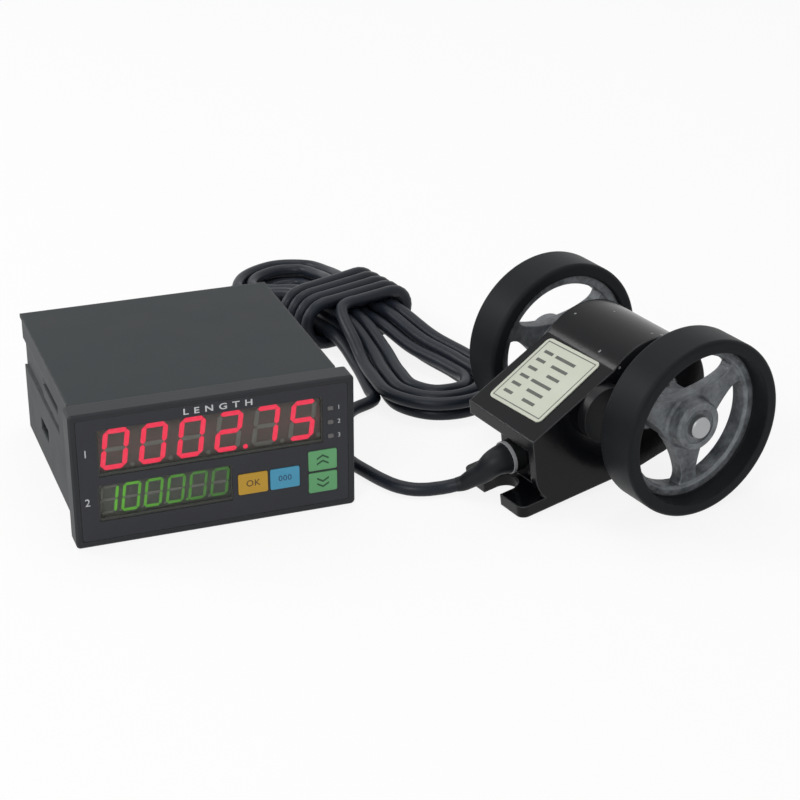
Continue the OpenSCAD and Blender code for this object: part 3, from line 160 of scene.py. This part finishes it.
def smooth(points, step):
    """A smooth curve through the points, with one new point to about each step."""
    spans = [(b - a).length for a, b in zip(points, points[1:])]
    slopes = [(points[1] - points[0]) / spans[0]]
    for k in range(1, len(points) - 1):
        back, on = (points[k] - points[k - 1]) / spans[k - 1], (points[k + 1] - points[k]) / spans[k]
        slopes.append((back * spans[k] + on * spans[k - 1]) / (spans[k - 1] + spans[k]))
    slopes.append((points[-1] - points[-2]) / spans[-1])
    curve = []
    for k, span in enumerate(spans):
        count = max(round(span / step), 1)
        for i in range(count):
            curve.append(bend(i / count, points[k], span * slopes[k], span * slopes[k + 1], points[k + 1]))
    return curve + [points[-1]]


def tube(name, path, radii, sides):
    """A closed tube along a path, with a radius in millimetres for each of its points."""
    mesh = bmesh.new()
    rings = []
    normal = Vector((0, 0, 1))
    for k, point in enumerate(path):
        along = (path[min(k + 1, len(path) - 1)] - path[max(k - 1, 0)]).normalized()
        if abs(normal.dot(along)) > 0.95:
            normal = Vector((0.2, 1, 0.1))
        normal = (normal - normal.dot(along) * along).normalized()
        side = along.cross(normal)
        rings.append([mesh.verts.new((point + radii[k] * (math.cos(a) * normal + math.sin(a) * side)) * MM)
                      for a in (math.tau * s / sides for s in range(sides))])
    for low, high in zip(rings, rings[1:]):
        for s in range(sides):
            mesh.faces.new((low[s], low[(s + 1) % sides], high[(s + 1) % sides], high[s]))
    mesh.faces.new(rings[0][::-1])
    mesh.faces.new(rings[-1])
    return made_piece(name, mesh, crease=50)


def made_piece(name, mesh, crease):
    """Makes an object that is smooth but for edges sharper than the crease, in degrees."""
    bmesh.ops.recalc_face_normals(mesh, faces=mesh.faces)
    data = bpy.data.meshes.new(name)
    mesh.to_mesh(data)
    mesh.free()
    data.shade_smooth()
    data.set_sharp_from_angle(angle=math.radians(crease))
    piece = bpy.data.objects.new(name, data)
    bpy.context.scene.collection.objects.link(piece)
    return piece


class Tone:
    """A socket of a material. Sums, products and comparisons with it add Math nodes."""

    def __init__(self, socket):
        self.socket = socket

    def node(self, kind, settings=None, sockets=None, out=0):
        """Adds a node: its settings first, then the values or links of its sockets."""
        tree = self.socket.id_data
        made = tree.nodes.new("ShaderNode" + kind)
        for name, value in (settings or {}).items():
            setattr(made, name, value)
        for name, value in (sockets or {}).items():
            if isinstance(value, Tone):
                tree.links.new(value.socket, made.inputs[name])
            else:
                made.inputs[name].default_value = value
        return Tone(made.outputs[out])

    def math(self, operation, *values):
        """Adds a Math node that works on the values, which are tones or numbers."""
        return self.node("Math", {"operation": operation}, dict(enumerate(values)))

    def mixed(self, low, high):
        """The colour between low and high at this share."""
        return self.node("Mix", {"data_type": "RGBA"}, {0: self, 6: low, 7: high}, 2)

    def __add__(self, other):
        return self.math("ADD", self, other)

    def __sub__(self, other):
        return self.math("SUBTRACT", self, other)

    def __rsub__(self, other):
        return self.math("SUBTRACT", other, self)

    def __mul__(self, other):
        return self.math("MULTIPLY", self, other)

    def __truediv__(self, other):
        return self.math("DIVIDE", self, other)

    def __gt__(self, other):
        return self.math("GREATER_THAN", self, other)

    def __lt__(self, other):
        return self.math("LESS_THAN", self, other)

    def __abs__(self):
        return self.math("ABSOLUTE", self)

    __radd__ = __add__
    __rmul__ = __mul__


def colour(red, green, blue):
    """A colour as a screen shows it, from 0 to 255, as the shader wants it."""
    linear = [((c / 255 + 0.055) / 1.055) ** 2.4 if c > 10 else c / 3294.6 for c in (red, green, blue)]
    return (*linear, 1)


def started(name, **constants):
    """A material with fixed values on its shader, and the place on the piece in metres."""
    material = bpy.data.materials.new(name)
    material.use_nodes = True
    shader = material.node_tree.nodes["Principled BSDF"]
    for socket, value in constants.items():
        shader.inputs[socket.replace("_", " ")].default_value = value
    return material, shader, Tone(shader.outputs[0]).node("TexCoord", out="Object")


def link(shader, **tones):
    """Lets tones feed the shader's sockets of those names."""
    for socket, tone in tones.items():
        shader.id_data.links.new(tone.socket, shader.inputs[socket.replace("_", " ")])


def noise(place, size, detail=2):
    """Cloudy noise whose patches are about that size in millimetres."""
    return place.node("TexNoise", {}, {"Vector": place, "Scale": 1 / (size * MM), "Detail": detail})


def uneven(place, size, depth, soft=None):
    """The surface's direction over bumps of that size and depth in millimetres."""
    sockets = {"Distance": depth * MM, "Height": noise(place, size)}
    if soft:
        sockets["Normal"] = soft
    return place.node("Bump", {}, sockets)


def settle(piece, material, body="counter_and_encoder"):
    """Gives a new piece its finish and the body that it moves with."""
    piece.data.materials.append(material)
    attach(piece, body)
    return piece


gland_face = Vector((29.9125, -31.8390, 13.4324))
gland_dir = Vector((-0.96954, -0.20608, -0.13237))
relief_end = Vector((14, -27.1, 3.5))
relief_dir = Vector((-4.6, 1.5, -1.2)).normalized()
relief_route = [gland_face, gland_face + 4 * gland_dir, Vector((22, -30.9, 8.7)), Vector((18.4, -29.1, 5.9)),
                relief_end - CABLE_R * relief_dir, relief_end]
run_route = [relief_end + 2 * CABLE_R * relief_dir] + [Vector(p) for p in (
    (5, -25.3, 2.4), (-0.2, -23.6, 2.4), (-4.6, -19.8, 2.4), (-8.4, -13.2, 2.4), (-11.2, -6, 2.4),
    (-13.6, 1, 2.4), (-14.8, 9, 2.4), (-14, 18, 2.4), (-11, 27, 2.4), (-6.4, 35, 2.4), (0, 42, 2.4))]
tail_route = [Vector(p) for p in (
    (-24, 115, 2.4), (-32.4, 109.6, 2.8), (-39, 102.6, 4.4), (-43.6, 95.4, 7.4), (-46, 89.6, 10.2),
    (-46.4, 85.6, 11))]
hank_route = [looped(k) for k in range(FIRST_RING, LAST_RING + 1)]
hank_route += [turned_over(k / 6) for k in range(1, 6)]
wrap_steps = WRAPS * LOOP_RINGS
hank_route += [wrapped(FIRST_TURN + (LAST_TURN - FIRST_TURN) * k / wrap_steps) for k in range(wrap_steps + 1)]
hank_route = [in_row(p) for p in hank_route]
hank_in = (hank_route[1] - hank_route[0]).normalized()
hank_out = (hank_route[-1] - hank_route[-2]).normalized()
route = smooth(relief_route + run_route + [hank_route[0] - 7 * hank_in] + hank_route
               + [hank_route[-1] + k * hank_out for k in (12, 24)] + tail_route, 2)
for point in route:
    point.z = max(point.z, CABLE_R)
cable = tube("cable", route, [CABLE_R] * len(route), sides=16)
sheath, shader, place = started("soft_black_sheath", Specular_IOR_Level=0.2)
cloud = noise(place, 22, 3)
link(shader, Base_Color=cloud.mixed(colour(18, 22, 28), colour(34, 39, 48)), Roughness=cloud * 0.24 + 0.28,
     Normal=uneven(place, 3.5, 0.06))
settle(cable, sheath)
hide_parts("cable_run", "cable_hank", "cable_tail")

# ------------------------------------------------------- the strain relief
# A soft rubber boot moulded on the cable where it leaves the gland, 21 mm long,
# which tapers from the gland's ring down to the sheath.
RELIEF_R, RELIEF_TIP_R = 5.5, 2.5


def rounded(place, radius):
    """The surface's direction as if its edges were round, with a radius in millimetres."""
    return place.node("Bevel", {"samples": 6}, {"Radius": radius * MM})


def edge_of(soft):
    """Nought on a flat, and more where the rounded direction leaves the real one."""
    flat = soft.node("NewGeometry", out="Normal")
    return 1 - soft.node("VectorMath", {"operation": "DOT_PRODUCT"}, {0: soft, 1: flat}, "Value")


def grained(name, dark, pale, rough, grain=0.4, relief=0.01, rim=0.4, wear_and_highlight=0.35, **constants):
    """A moulded or sprayed surface: a fine grain, cloudy gloss, and edges that are soft
    and painted paler, partly as rubbed wear and partly as a painted highlight. Sizes in millimetres."""
    material, shader, place = started(name, **constants)
    soft = rounded(place, rim)
    # Edges painted paler toward grey: partly rubbed wear, partly a painted highlight.
    worn_and_highlit_edges = place.math("MINIMUM", edge_of(soft) * (6 * wear_and_highlight) * noise(place, 2.5, 4), 1)
    cloud = noise(place, 14, 3)
    link(shader, Base_Color=worn_and_highlit_edges.mixed(cloud.mixed(dark, pale), colour(150, 150, 150)),
         Roughness=cloud * 0.16 + (rough - 0.08), Normal=uneven(place, grain, relief, soft))
    return material


relief_path = smooth(relief_route, 0.7)
relief_radii = []
for k in range(len(relief_path)):
    share = k / (len(relief_path) - 1)
    relief_radii.append(RELIEF_TIP_R + (RELIEF_R - RELIEF_TIP_R) * (1 - share) ** 1.1)
relief = tube("strain_boot", relief_path, relief_radii, sides=32)
boot_rubber = grained("boot_rubber", colour(14, 16, 19), colour(24, 27, 31), 0.5, grain=0.5, wear_and_highlight=0.1,
                      Specular_IOR_Level=0.2)
settle(relief, boot_rubber)
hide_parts("strain_relief")

# ------------------------------------------------------------ the cable cores
# Four insulated cores, 1.3 mm thick, that leave the end of the sheath and fan
# out to four screws in the lower row of terminals.
CORE_R = 0.65
CORE_OFF = 0.78
COUNTER_X = -69.2427
FIRST_WAY, WAY_PITCH = 1.5, 7.6
SCREW_Y, SCREW_Z = 72.5332, 12.6
core_colours = {"red": (170, 30, 28), "black": (28, 28, 30), "green": (30, 120, 55), "white": (205, 205, 200)}
sheath_end = tail_route[-1]
end_dir = (route[-1] - route[-2]).normalized()
end_side = end_dir.cross(Vector((0, 0, 1))).normalized()
end_up = end_side.cross(end_dir)
for k, (name, shade) in enumerate(core_colours.items()):
    start = sheath_end + CORE_OFF * ((end_side if k < 2 else -end_side) + (-end_up if k % 3 == 0 else end_up))
    finish = Vector((COUNTER_X + (FIRST_WAY + k) * WAY_PITCH, SCREW_Y, SCREW_Z))
    leave, arrive = start + 5 * end_dir, finish + Vector((0, 6, 0))
    path = [start - end_dir]
    for i in range(25):
        s, t = i / 24, 1 - i / 24
        path.append(t ** 3 * start + 3 * t * t * s * leave + 3 * t * s * s * arrive + s ** 3 * finish)
    core = tube(name + "_core", path, [CORE_R] * len(path), sides=12)
    pale = tuple(min(c * 1.25 + 8, 255) for c in shade)
    insulation = grained(name + "_insulation", colour(*shade), colour(*pale), 0.35, grain=0.3, wear_and_highlight=0.05)
    settle(core, insulation)
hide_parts("cable_cores")
cable_length = sum((b - a).length for a, b in zip(route, route[1:])) * MM
[tuple(p * MM) for p in route]


def dress(material, *names):
    """Gives CAD parts their finish."""
    for name in names:
        slots = parts[name].data.materials
        slots.clear()
        slots.append(material)


case_plastic = grained("case_plastic", colour(42, 46, 48), colour(50, 54, 56), 0.5, grain=0.35, relief=0.012,
                       rim=1.4, wear_and_highlight=0.15, Specular_IOR_Level=0.1)
dress(case_plastic, "counter_case")

# --------------------------------------------------------------- the bezel
# The front frame in the same black ABS, with a chamfer round its face. Its skirt
# is pushed into the mouth of the case, and the panel stops behind its rim.
bezel_plastic = grained("bezel_plastic", colour(38, 40, 43), colour(46, 48, 51), 0.5, grain=0.35, rim=0.5,
                        wear_and_highlight=0.08, Specular_IOR_Level=0.2)
dress(bezel_plastic, "front_bezel")

# ----------------------------------------------------- the overlay and print
# A printed satin film glued into the bezel's recess, with cut-outs for windows,
# lamps and keys. Its white print is a title, row numbers and lamp numbers.
FACE_Y = 0.1
PRINT_T = 0.02
COUNTER_Y, BEZEL_T = -14.4668, 8
COUNTER_LEAN = math.radians(-1.17204)
counter_at = (Matrix.Translation((COUNTER_X, COUNTER_Y, 0)) @ Matrix.Rotation(COUNTER_LEAN, 4, "X")
              @ Matrix.Translation((0, -BEZEL_T, 0)))
overlay_film = grained("overlay_film", colour(42, 43, 48), colour(48, 49, 54), 0.42, grain=0.25, relief=0.004,
                       rim=0.15, Specular_IOR_Level=0.25)
dress(overlay_film, "front_overlay")


def words(name, text, size, place, ink, body="counter_and_encoder", spread=1.0, bold=0.0, wide=1.0):
    """Printed characters, centred on a place given in millimetres."""
    font = bpy.data.curves.new(name, "FONT")
    font.body, font.size, font.space_character, font.offset = text, size, spread, bold
    font.align_x, font.align_y = "CENTER", "CENTER"
    sign = bpy.data.objects.new(name + "_font", font)
    data = bpy.data.meshes.new_from_object(sign)
    bpy.data.objects.remove(sign)
    data.transform(Matrix.Diagonal((wide, 1, 1, 1)))
    return stamped(name, data, place, ink, body)


def shapes(name, outlines, place, ink, body="counter_and_encoder"):
    """Printed flat shapes, each an outline in the plane of the place."""
    data = bpy.data.meshes.new(name)
    corners = [corner for outline in outlines for corner in outline]
    faces, first = [], 0
    for outline in outlines:
        faces.append(tuple(range(first, first + len(outline))))
        first += len(outline)
    data.from_pydata([(x, y, 0) for x, y in corners], [], faces)
    return stamped(name, data, place, ink, body)


def stamped(name, data, place, ink, body):
    """Lays a flat mesh down in its place as a piece of print."""
    data.transform(Matrix.Scale(MM, 4) @ place)
    data.name = name
    data.materials.clear()
    piece = bpy.data.objects.new(name, data)
    bpy.context.scene.collection.objects.link(piece)
    return settle(piece, ink, body)


def ink_of(name, dark, pale, rough=0.5):
    """Screen ink, a little uneven where it was squeezed through the mesh."""
    ink, shader, place = started(name)
    cloud = noise(place, 1.2, 3)
    link(shader, Base_Color=cloud.mixed(dark, pale), Roughness=cloud * 0.15 + (rough - 0.07))
    return ink


def on_face(x, z, surface=FACE_Y):
    """A place for print that reads from the front, on a surface that far back in the counter."""
    return counter_at @ Matrix.Translation((x, surface - PRINT_T, z)) @ Matrix.Rotation(math.pi / 2, 4, "X")


white_ink = ink_of("white_ink", colour(176, 178, 180), colour(206, 208, 210))
words("title", "LENGTH", 3.0, on_face(1.3, 43.6), white_ink, spread=1.85, bold=0.06,
      wide=1.32)
words("upper_row_mark", "1", 3.8, on_face(-43.1, 33.8), white_ink)
words("lower_row_mark", "2", 3.8, on_face(-43.4, 16.3), white_ink)
for k, z in enumerate((37.1, 32.0, 26.9)):
    words(f"lamp_mark_{k + 1}", str(k + 1), 2.2, on_face(42.6, z), white_ink)

# ------------------------------------------------------------- the windows
# Two clear panes tinted grey, laid in pockets behind the overlay, with a denser
# border printed on their backs along the bottom and the ends.
UPPER_Z, LOWER_Z = 33.2, 15.3
PANE_LIFT = 0.16
BORDER_LOW, BORDER_END = 1.2, 0.6
window_sizes = {"pv_window": (-1.1, UPPER_Z, 76.3, 16.7), "sv_window": (-17.2, LOWER_Z, 45.1, 13.2)}


def coordinate(place, axis):
    """How far a place is along an axis, in millimetres: 0 across, 1 back and 2 up."""
    return place.node("SeparateXYZ", {}, {"Vector": place}, axis) / MM


for name, (mid_x, mid_z, width, height) in window_sizes.items():
    tinted, shader, place = started(name + "_pane", Specular_IOR_Level=0.25)
    below = mid_z + PANE_LIFT - coordinate(place, 2) - (height / 2 - BORDER_LOW)
    beside = abs(coordinate(place, 0) - COUNTER_X - mid_x) - (width / 2 - BORDER_END)
    border = place.math("MAXIMUM", below, beside) > 0
    link(shader, Base_Color=noise(place, 9, 3).mixed(colour(60, 62, 58), colour(70, 72, 67)),
         Roughness=noise(place, 5, 3) * 0.12 + 0.12, Alpha=border * 0.62 + 0.26)
    dress(tinted, name)

# ----------------------------------------------- the displays and their digits
# Two blocks of seven-segment digits in grey faced plastic, red above and green
# below. Lit segments glow, and the face round them has a painted glow in their
# colour; the green ones are dimmer towards the right.
red, shader, place = started("red_segments", Emission_Strength=1.45, Roughness=0.4)
cloud = noise(place, 1.6, 3)
link(shader, Base_Color=cloud.mixed(colour(90, 8, 8), colour(120, 14, 12)),
     Emission_Color=cloud.mixed(colour(255, 26, 66), colour(255, 64, 102)))
dress(red, "pv_digits")
FADE_FROM, FADE_LENGTH = -102, 30
green, shader, place = started("green_segments", Emission_Strength=0.95, Roughness=0.4)
cloud = noise(place, 1.6, 3)
fade = place.math("MINIMUM", (coordinate(place, 0) - FADE_FROM) / FADE_LENGTH, 1)
bright = cloud.mixed(colour(96, 186, 42), colour(124, 214, 66))
link(shader, Base_Color=cloud.mixed(colour(30, 80, 14), colour(40, 100, 20)),
     Emission_Color=place.math("MAXIMUM", fade, 0).mixed(bright, colour(78, 132, 60)))
dress(green, "sv_digits")


def display_face(name, middle_z, half, painted_glow_colour):
    """The block's grey face, with a painted glow from its own digits."""
    face, shader, place = started(name, Emission_Strength=1.0, Roughness=0.5)
    # Painted glow: the face emits the digits' colour, most along the middle of the row.
    painted_glow_share = place.math("MAXIMUM", 1 - abs(coordinate(place, 2) - middle_z) / half, 0)
    cloud = noise(place, 4, 3)
    link(shader, Base_Color=cloud.mixed(colour(102, 104, 98), colour(116, 118, 111)),
         Emission_Color=(painted_glow_share * (cloud * 0.5 + 0.75)).mixed((0, 0, 0, 1), painted_glow_colour))
    return face


dress(display_face("red_display_face", UPPER_Z, 9.5, (0.055, 0.006, 0.010, 1)), "pv_display")
dress(display_face("green_display_face", LOWER_Z, 8.0, (0.006, 0.012, 0.003, 1)), "sv_display")
dress(grained("unlit_segments", colour(158, 158, 150), colour(174, 174, 165), 0.4, grain=0.5, wear_and_highlight=0),
      "unlit_segments")

# --------------------------------------------------------------- the lamps
# Three small rectangular lamps in milky plastic, soldered to the front board
# and reaching out through holes in the bezel and the film. All are unlit.
dress(grained("lamp_plastic", colour(84, 82, 82), colour(102, 99, 98), 0.35, grain=0.5, wear_and_highlight=0),
      "indicator_lamps")

# ---------------------------------------------------------------- the keys
# Four moulded caps, amber, blue and twice green, that stand just proud of the
# film and press switches behind them. Dark legends are printed on them.
KEY_Y = -0.15
SET_X, RESET_X, KEY_Z = 12.2, 23.3, 14.1
ARROW_X, ARROW_Z, ARROW_PITCH = 36.6, 14.5, 8.2
key_finishes = {
    "set_key": ("amber_key", (180, 138, 28), (192, 150, 42)),
    "reset_key": ("blue_key", (60, 142, 174), (74, 156, 190)),
    "up_key": ("green_key", (86, 150, 98), (98, 164, 110)),
    "down_key": ("green_key", (86, 150, 98), (98, 164, 110))}
for name, (slot, dark, pale) in key_finishes.items():
    dress(grained(name + "_cap", colour(*dark), colour(*pale), 0.45, grain=0.3, rim=0.25, wear_and_highlight=0.1), name)
brown_ink = ink_of("brown_ink", colour(74, 52, 12), colour(92, 66, 20))
navy_ink = ink_of("navy_ink", colour(24, 62, 96), colour(34, 76, 110))
green_ink = ink_of("green_ink", colour(20, 62, 34), colour(28, 76, 44))
words("ok_legend", "OK", 3.2, on_face(SET_X, KEY_Z, KEY_Y), brown_ink, body="set_button",
      spread=1.1, bold=0.04)
words("zero_legend", "000", 2.9, on_face(RESET_X, KEY_Z, KEY_Y), navy_ink, body="reset_button",
      spread=1.1, bold=0.04)


def chevrons(way):
    """Two arrow heads, one above the other, pointing up for 1 and down for -1."""
    head = ((-1, -0.9), (0, 0.7), (1, -0.9), (1, 0.1), (0, 1.7), (-1, 0.1))
    return [[(x * 2.1, way * (z * 0.75 + lift * 1.1)) for x, z in head] for lift in (-1.05, 0.75)]


for name, way in (("up", 1), ("down", -1)):
    arrow_at = on_face(ARROW_X, ARROW_Z + way * ARROW_PITCH / 2, KEY_Y)
    shapes(name + "_legend", chevrons(way), arrow_at, green_ink, name + "_button")

# -------------------------------------------------------- inside the counter
# The boards and what stands on them: solder mask over glass cloth, a laminated
# core with its taped coil, moulded relays, a sleeved can and moulded parts.
solder_mask = grained("solder_mask", colour(18, 84, 46), colour(26, 100, 58), 0.35, grain=0.6)
dress(solder_mask, "display_board", "main_board")
black_component = grained("black_component", colour(34, 34, 36), colour(44, 44, 46), 0.5, grain=0.4)
dress(black_component, "key_switches", "control_chip", "board_header")
dress(grained("core_laminations", colour(120, 120, 124), colour(146, 146, 150), 0.4, grain=0.5, Metallic=1.0),
      "transformer_core")
dress(grained("coil_tape", colour(196, 164, 62), colour(214, 184, 84), 0.3, grain=3), "transformer_coil")
dress(grained("relay_case", colour(34, 76, 158), colour(44, 90, 176), 0.35), "output_relays")
dress(grained("can_sleeve", colour(32, 38, 84), colour(42, 48, 98), 0.25), "smoothing_capacitor")

# ------------------------------------------------------------- the terminals
# Two rows of ten clamps under zinc plated screws, in a moulded black block
# that closes the rear of the case.
dress(grained("terminal_plastic", colour(34, 35, 37), colour(44, 45, 47), 0.5, grain=0.35,
              Specular_IOR_Level=0.35), "terminal_block")
plated = grained("zinc_plating", colour(186, 184, 174), colour(206, 204, 196), 0.32, grain=0.6, relief=0.006,
                 rim=0.2, wear_and_highlight=0.1, Metallic=1.0)
dress(plated, "terminal_screws", "wire_clamps")

# -------------------------------------------------------- the encoder housing
# A die-cast body under gloss black paint with a little orange peel. Its edges are
# painted paler as a highlight, and a few chips have gone through the paint on top.
# A moulded cap closes the near side, and a cover with two screws the base.
CHIPS_ABOVE = 45
gloss_paint, shader, place = started("gloss_paint", Specular_IOR_Level=0.18)
soft = rounded(place, 0.8)
cloud = noise(place, 25, 3)
chips = place.node("TexVoronoi", {}, {"Vector": place, "Scale": 260.0}) < 0.16
spot = (noise(place, 16) > 0.56) * (coordinate(place, 2) > CHIPS_ABOVE)
# Edges painted paler as a painted highlight; the pale chips on top are real wear.
chips_and_edge_highlight = place.math("MAXIMUM", chips * spot, place.math("MINIMUM", edge_of(soft) * 2, 0.28))
link(shader, Base_Color=chips_and_edge_highlight.mixed(cloud.mixed(colour(5, 6, 8), colour(11, 12, 15)), colour(122, 124, 126)),
     Roughness=cloud * 0.12 + 0.14, Normal=uneven(place, 2.2, 0.03, soft))
dress(gloss_paint, "encoder_housing")
dress(grained("cap_plastic", colour(12, 13, 15), colour(18, 19, 22), 0.4, wear_and_highlight=0.1, Specular_IOR_Level=0.2),
      "side_cap", "base_cover")
dress(plated, "cover_screws")

# -------------------------------------------------------------- the plate
# A thin metal plate with round corners, glued to the slope of the housing. Its
# print is a dark border with rows of plain bars.
AXLE_AT = (76.3573, -21.9668, 31.83)
ENCODER_TURN, ENCODER_TILT = math.radians(12), math.radians(-7.60711)
NOSE_REACH, NOSE_RISE, SLOPE = 50, 3, math.radians(-22.1117)
PLATE_T, PLATE_TURN = 0.4, math.radians(2.5)
encoder_at = (Matrix.Translation(AXLE_AT) @ Matrix.Rotation(ENCODER_TURN, 4, "Z")
              @ Matrix.Rotation(ENCODER_TILT, 4, "Y"))
plate_at = (encoder_at @ Matrix.Translation((-NOSE_REACH, 0, NOSE_RISE)) @ Matrix.Rotation(SLOPE, 4, "Y")
            @ Matrix.Translation((21.3, 0.8, PLATE_T + PRINT_T)) @ Matrix.Rotation(PLATE_TURN, 4, "Z"))
dress(grained("plate_metal", colour(180, 184, 168), colour(194, 198, 184), 0.4, grain=0.3, rim=0.2, wear_and_highlight=0.1),
      "rating_plate")
black_ink = ink_of("black_ink", colour(62, 64, 62), colour(96, 98, 92))


def strip(x, y, long_x, long_y):
    """A printed bar round a middle point."""
    return [(x + sx * long_x / 2, y + sy * long_y / 2) for sx, sy in ((-1, -1), (1, -1), (1, 1), (-1, 1))]


BORDER_X, BORDER_Y, LINE = 27.6, 25.2, 0.4
ROWS, FIRST_ROW_X, ROW_PITCH, BAR_W = 6, 9.6, 4, 1.3
plate_print = [strip(side * BORDER_X / 2, 0, LINE, BORDER_Y + LINE) for side in (-1, 1)]
plate_print += [strip(0, side * BORDER_Y / 2, BORDER_X + LINE, LINE) for side in (-1, 1)]
for k in range(ROWS):
    row_x = FIRST_ROW_X - ROW_PITCH * k
    plate_print.append(strip(row_x, 8.2, BAR_W, 4.6))
    plate_print.append(strip(row_x, -0.9 - k % 3, BAR_W, 10.4 - 2 * (k % 3)))
shapes("plate_print", plate_print, plate_at, black_ink)

# ------------------------------------------------------- bearings and axle
# Two shielded ball bearings pressed into the ends of the housing, the ground
# steel axle that runs through them, and a turned spacer outside each.
ground = grained("ground_steel", colour(168, 170, 174), colour(190, 192, 196), 0.28, grain=0.5, relief=0.004,
                 rim=0.3, wear_and_highlight=0.1, Metallic=1.0)
dress(ground, "near_bearing", "far_bearing", "axle_spacers")
dress(grained("axle_end", colour(152, 154, 155), colour(170, 172, 173), 0.4, grain=0.5, relief=0.004, rim=0.4,
              wear_and_highlight=0.1, Metallic=1.0), "wheel_axle")

# ------------------------------------------------------ the pulse pick-up
# A slotted steel disc on the axle turns in a black optical fork, which stands on
# a board across the inside of the housing.
dress(ground, "code_disc")
dress(black_component, "optical_sensor")
dress(solder_mask, "sensor_board")

# ---------------------------------------------------------------- the hubs
# Three-spoked wheel centres, die-cast in aluminium and left under thin grey
# paint, so the skin is rough and the edges are soft; the edges are also painted
# paler as a highlight. A black grub screw holds each boss on the axle.
cast_grey, shader, place = started("cast_grey", Metallic=0.25)
soft = rounded(place, 0.9)
skin = noise(place, 1.6, 5)
cloud = noise(place, 7, 5)
rough = place.node("Bump", {}, {"Distance": 0.35 * MM, "Height": skin, "Normal": soft})
# Random cast patches and skin, plus edges painted paler as a painted highlight.
pale = cloud * 1.6 - 0.3 + (skin - 0.5) * 0.8 + edge_of(soft) * 2.5
pale = place.math("MINIMUM", place.math("MAXIMUM", pale, 0), 1)
link(shader, Base_Color=pale.mixed(colour(52, 56, 60), colour(132, 136, 140)), Roughness=cloud * 0.3 + 0.32,
     Normal=rough)
dress(cast_grey, "near_hub", "far_hub")
dress(black_component, "hub_screws")

# --------------------------------------------------------------- the tyres
# Solid black rubber bands moulded on the rims, wider than them, with rounded
# edges and a satin tread.
tread, shader, place = started("tyre_rubber", Specular_IOR_Level=0.07)
cloud = noise(place, 18, 4)
link(shader, Base_Color=cloud.mixed(colour(22, 24, 26), colour(32, 34, 37)), Roughness=cloud * 0.2 + 0.34,
     Normal=uneven(place, 0.9, 0.02, rounded(place, 1.0)))
dress(tread, "near_tyre", "far_tyre")

# --------------------------------------------------------------- the gland
# A moulded gland, black but for the pale front of the ring that shows behind the
# rubber boot, and the lead that goes on from it to the sensor board.
RING_FRONT = 1.2
gland_plastic, shader, place = started("gland_plastic")
place = place.node("VectorMath", {"operation": "SUBTRACT"}, {0: place, 1: gland_face * MM})
inward = place.node("VectorMath", {"operation": "DOT_PRODUCT"}, {0: place, 1: -gland_dir}, "Value")
cloud = noise(place, 3, 3)
black = cloud.mixed(colour(16, 17, 18), colour(24, 25, 26))
pale = cloud.mixed(colour(140, 142, 144), colour(166, 168, 170))
link(shader, Roughness=cloud * 0.2 + 0.3, Base_Color=(inward < RING_FRONT * MM).mixed(black, pale))
dress(gland_plastic, "gland_ring")
dress(sheath, "sensor_lead")

# ------------------------------------------- the table, backdrop and lamps
# A white table under even studio light: a wide lamp above, one from the front
# left, one from the back left, and a world that gives a little light. The camera,
# gloss and glass see table and world as nearly white.
GLOW_SHARE = 0.86
LIT_BY_SKY = 0.45
floor_mesh = bmesh.new()
bmesh.ops.create_grid(floor_mesh, x_segments=4, y_segments=4, size=4)
table = made_piece("table", floor_mesh, crease=30)
white, shader, place = started("table_white", Base_Color=(0.86, 0.86, 0.86, 1), Roughness=0.9,
                               Specular_IOR_Level=0.0)


def looked_at(tone):
    """One for what the camera sees, straight or in gloss and glass, and nought for light."""
    seen = tone.node("LightPath", out="Is Camera Ray")
    for ray in ("Is Glossy Ray", "Is Transmission Ray"):
        seen = tone.math("MAXIMUM", seen, tone.node("LightPath", out=ray))
    return seen


glow = place.node("Emission", {}, {"Color": (1, 1, 1, 1), "Strength": 1.0})
blend = place.node("MixShader", {}, {0: looked_at(place) * GLOW_SHARE, 1: Tone(shader.outputs[0]), 2: glow})
link(white.node_tree.nodes["Material Output"], Surface=blend)
table.data.materials.append(white)
world = bpy.data.worlds.new("studio")
bpy.context.scene.world = world
world.use_nodes = True
sky = world.node_tree.nodes["Background"]
sky.inputs["Color"].default_value = (1, 1, 1, 1)
link(sky, Strength=looked_at(Tone(sky.outputs[0])) * (1 - LIT_BY_SKY) + LIT_BY_SKY)
lamps = {
    "overhead": ((0.1, 0.35, 1.25), (0, 0.02, 0), 0.9, 4.5),
    "back_left": ((-0.9, 0.7, 0.7), (0.03, 0.02, 0.03), 0.5, 4.5),
    "front_left": ((-0.8, -0.8, 0.8), (0, 0, 0.03), 0.6, 7.0)}
for name, (lamp_at, aim, size, watts) in lamps.items():
    lamp = bpy.data.objects.new(name, bpy.data.lights.new(name, "AREA"))
    bpy.context.scene.collection.objects.link(lamp)
    lamp.data.shape, lamp.data.size, lamp.data.energy = "DISK", size, watts
    lamp.location = lamp_at
    lamp.rotation_euler = (Vector(aim) - Vector(lamp_at)).to_track_quat("-Z", "Y").to_euler()
bpy.context.scene.view_settings.view_transform = "Standard"
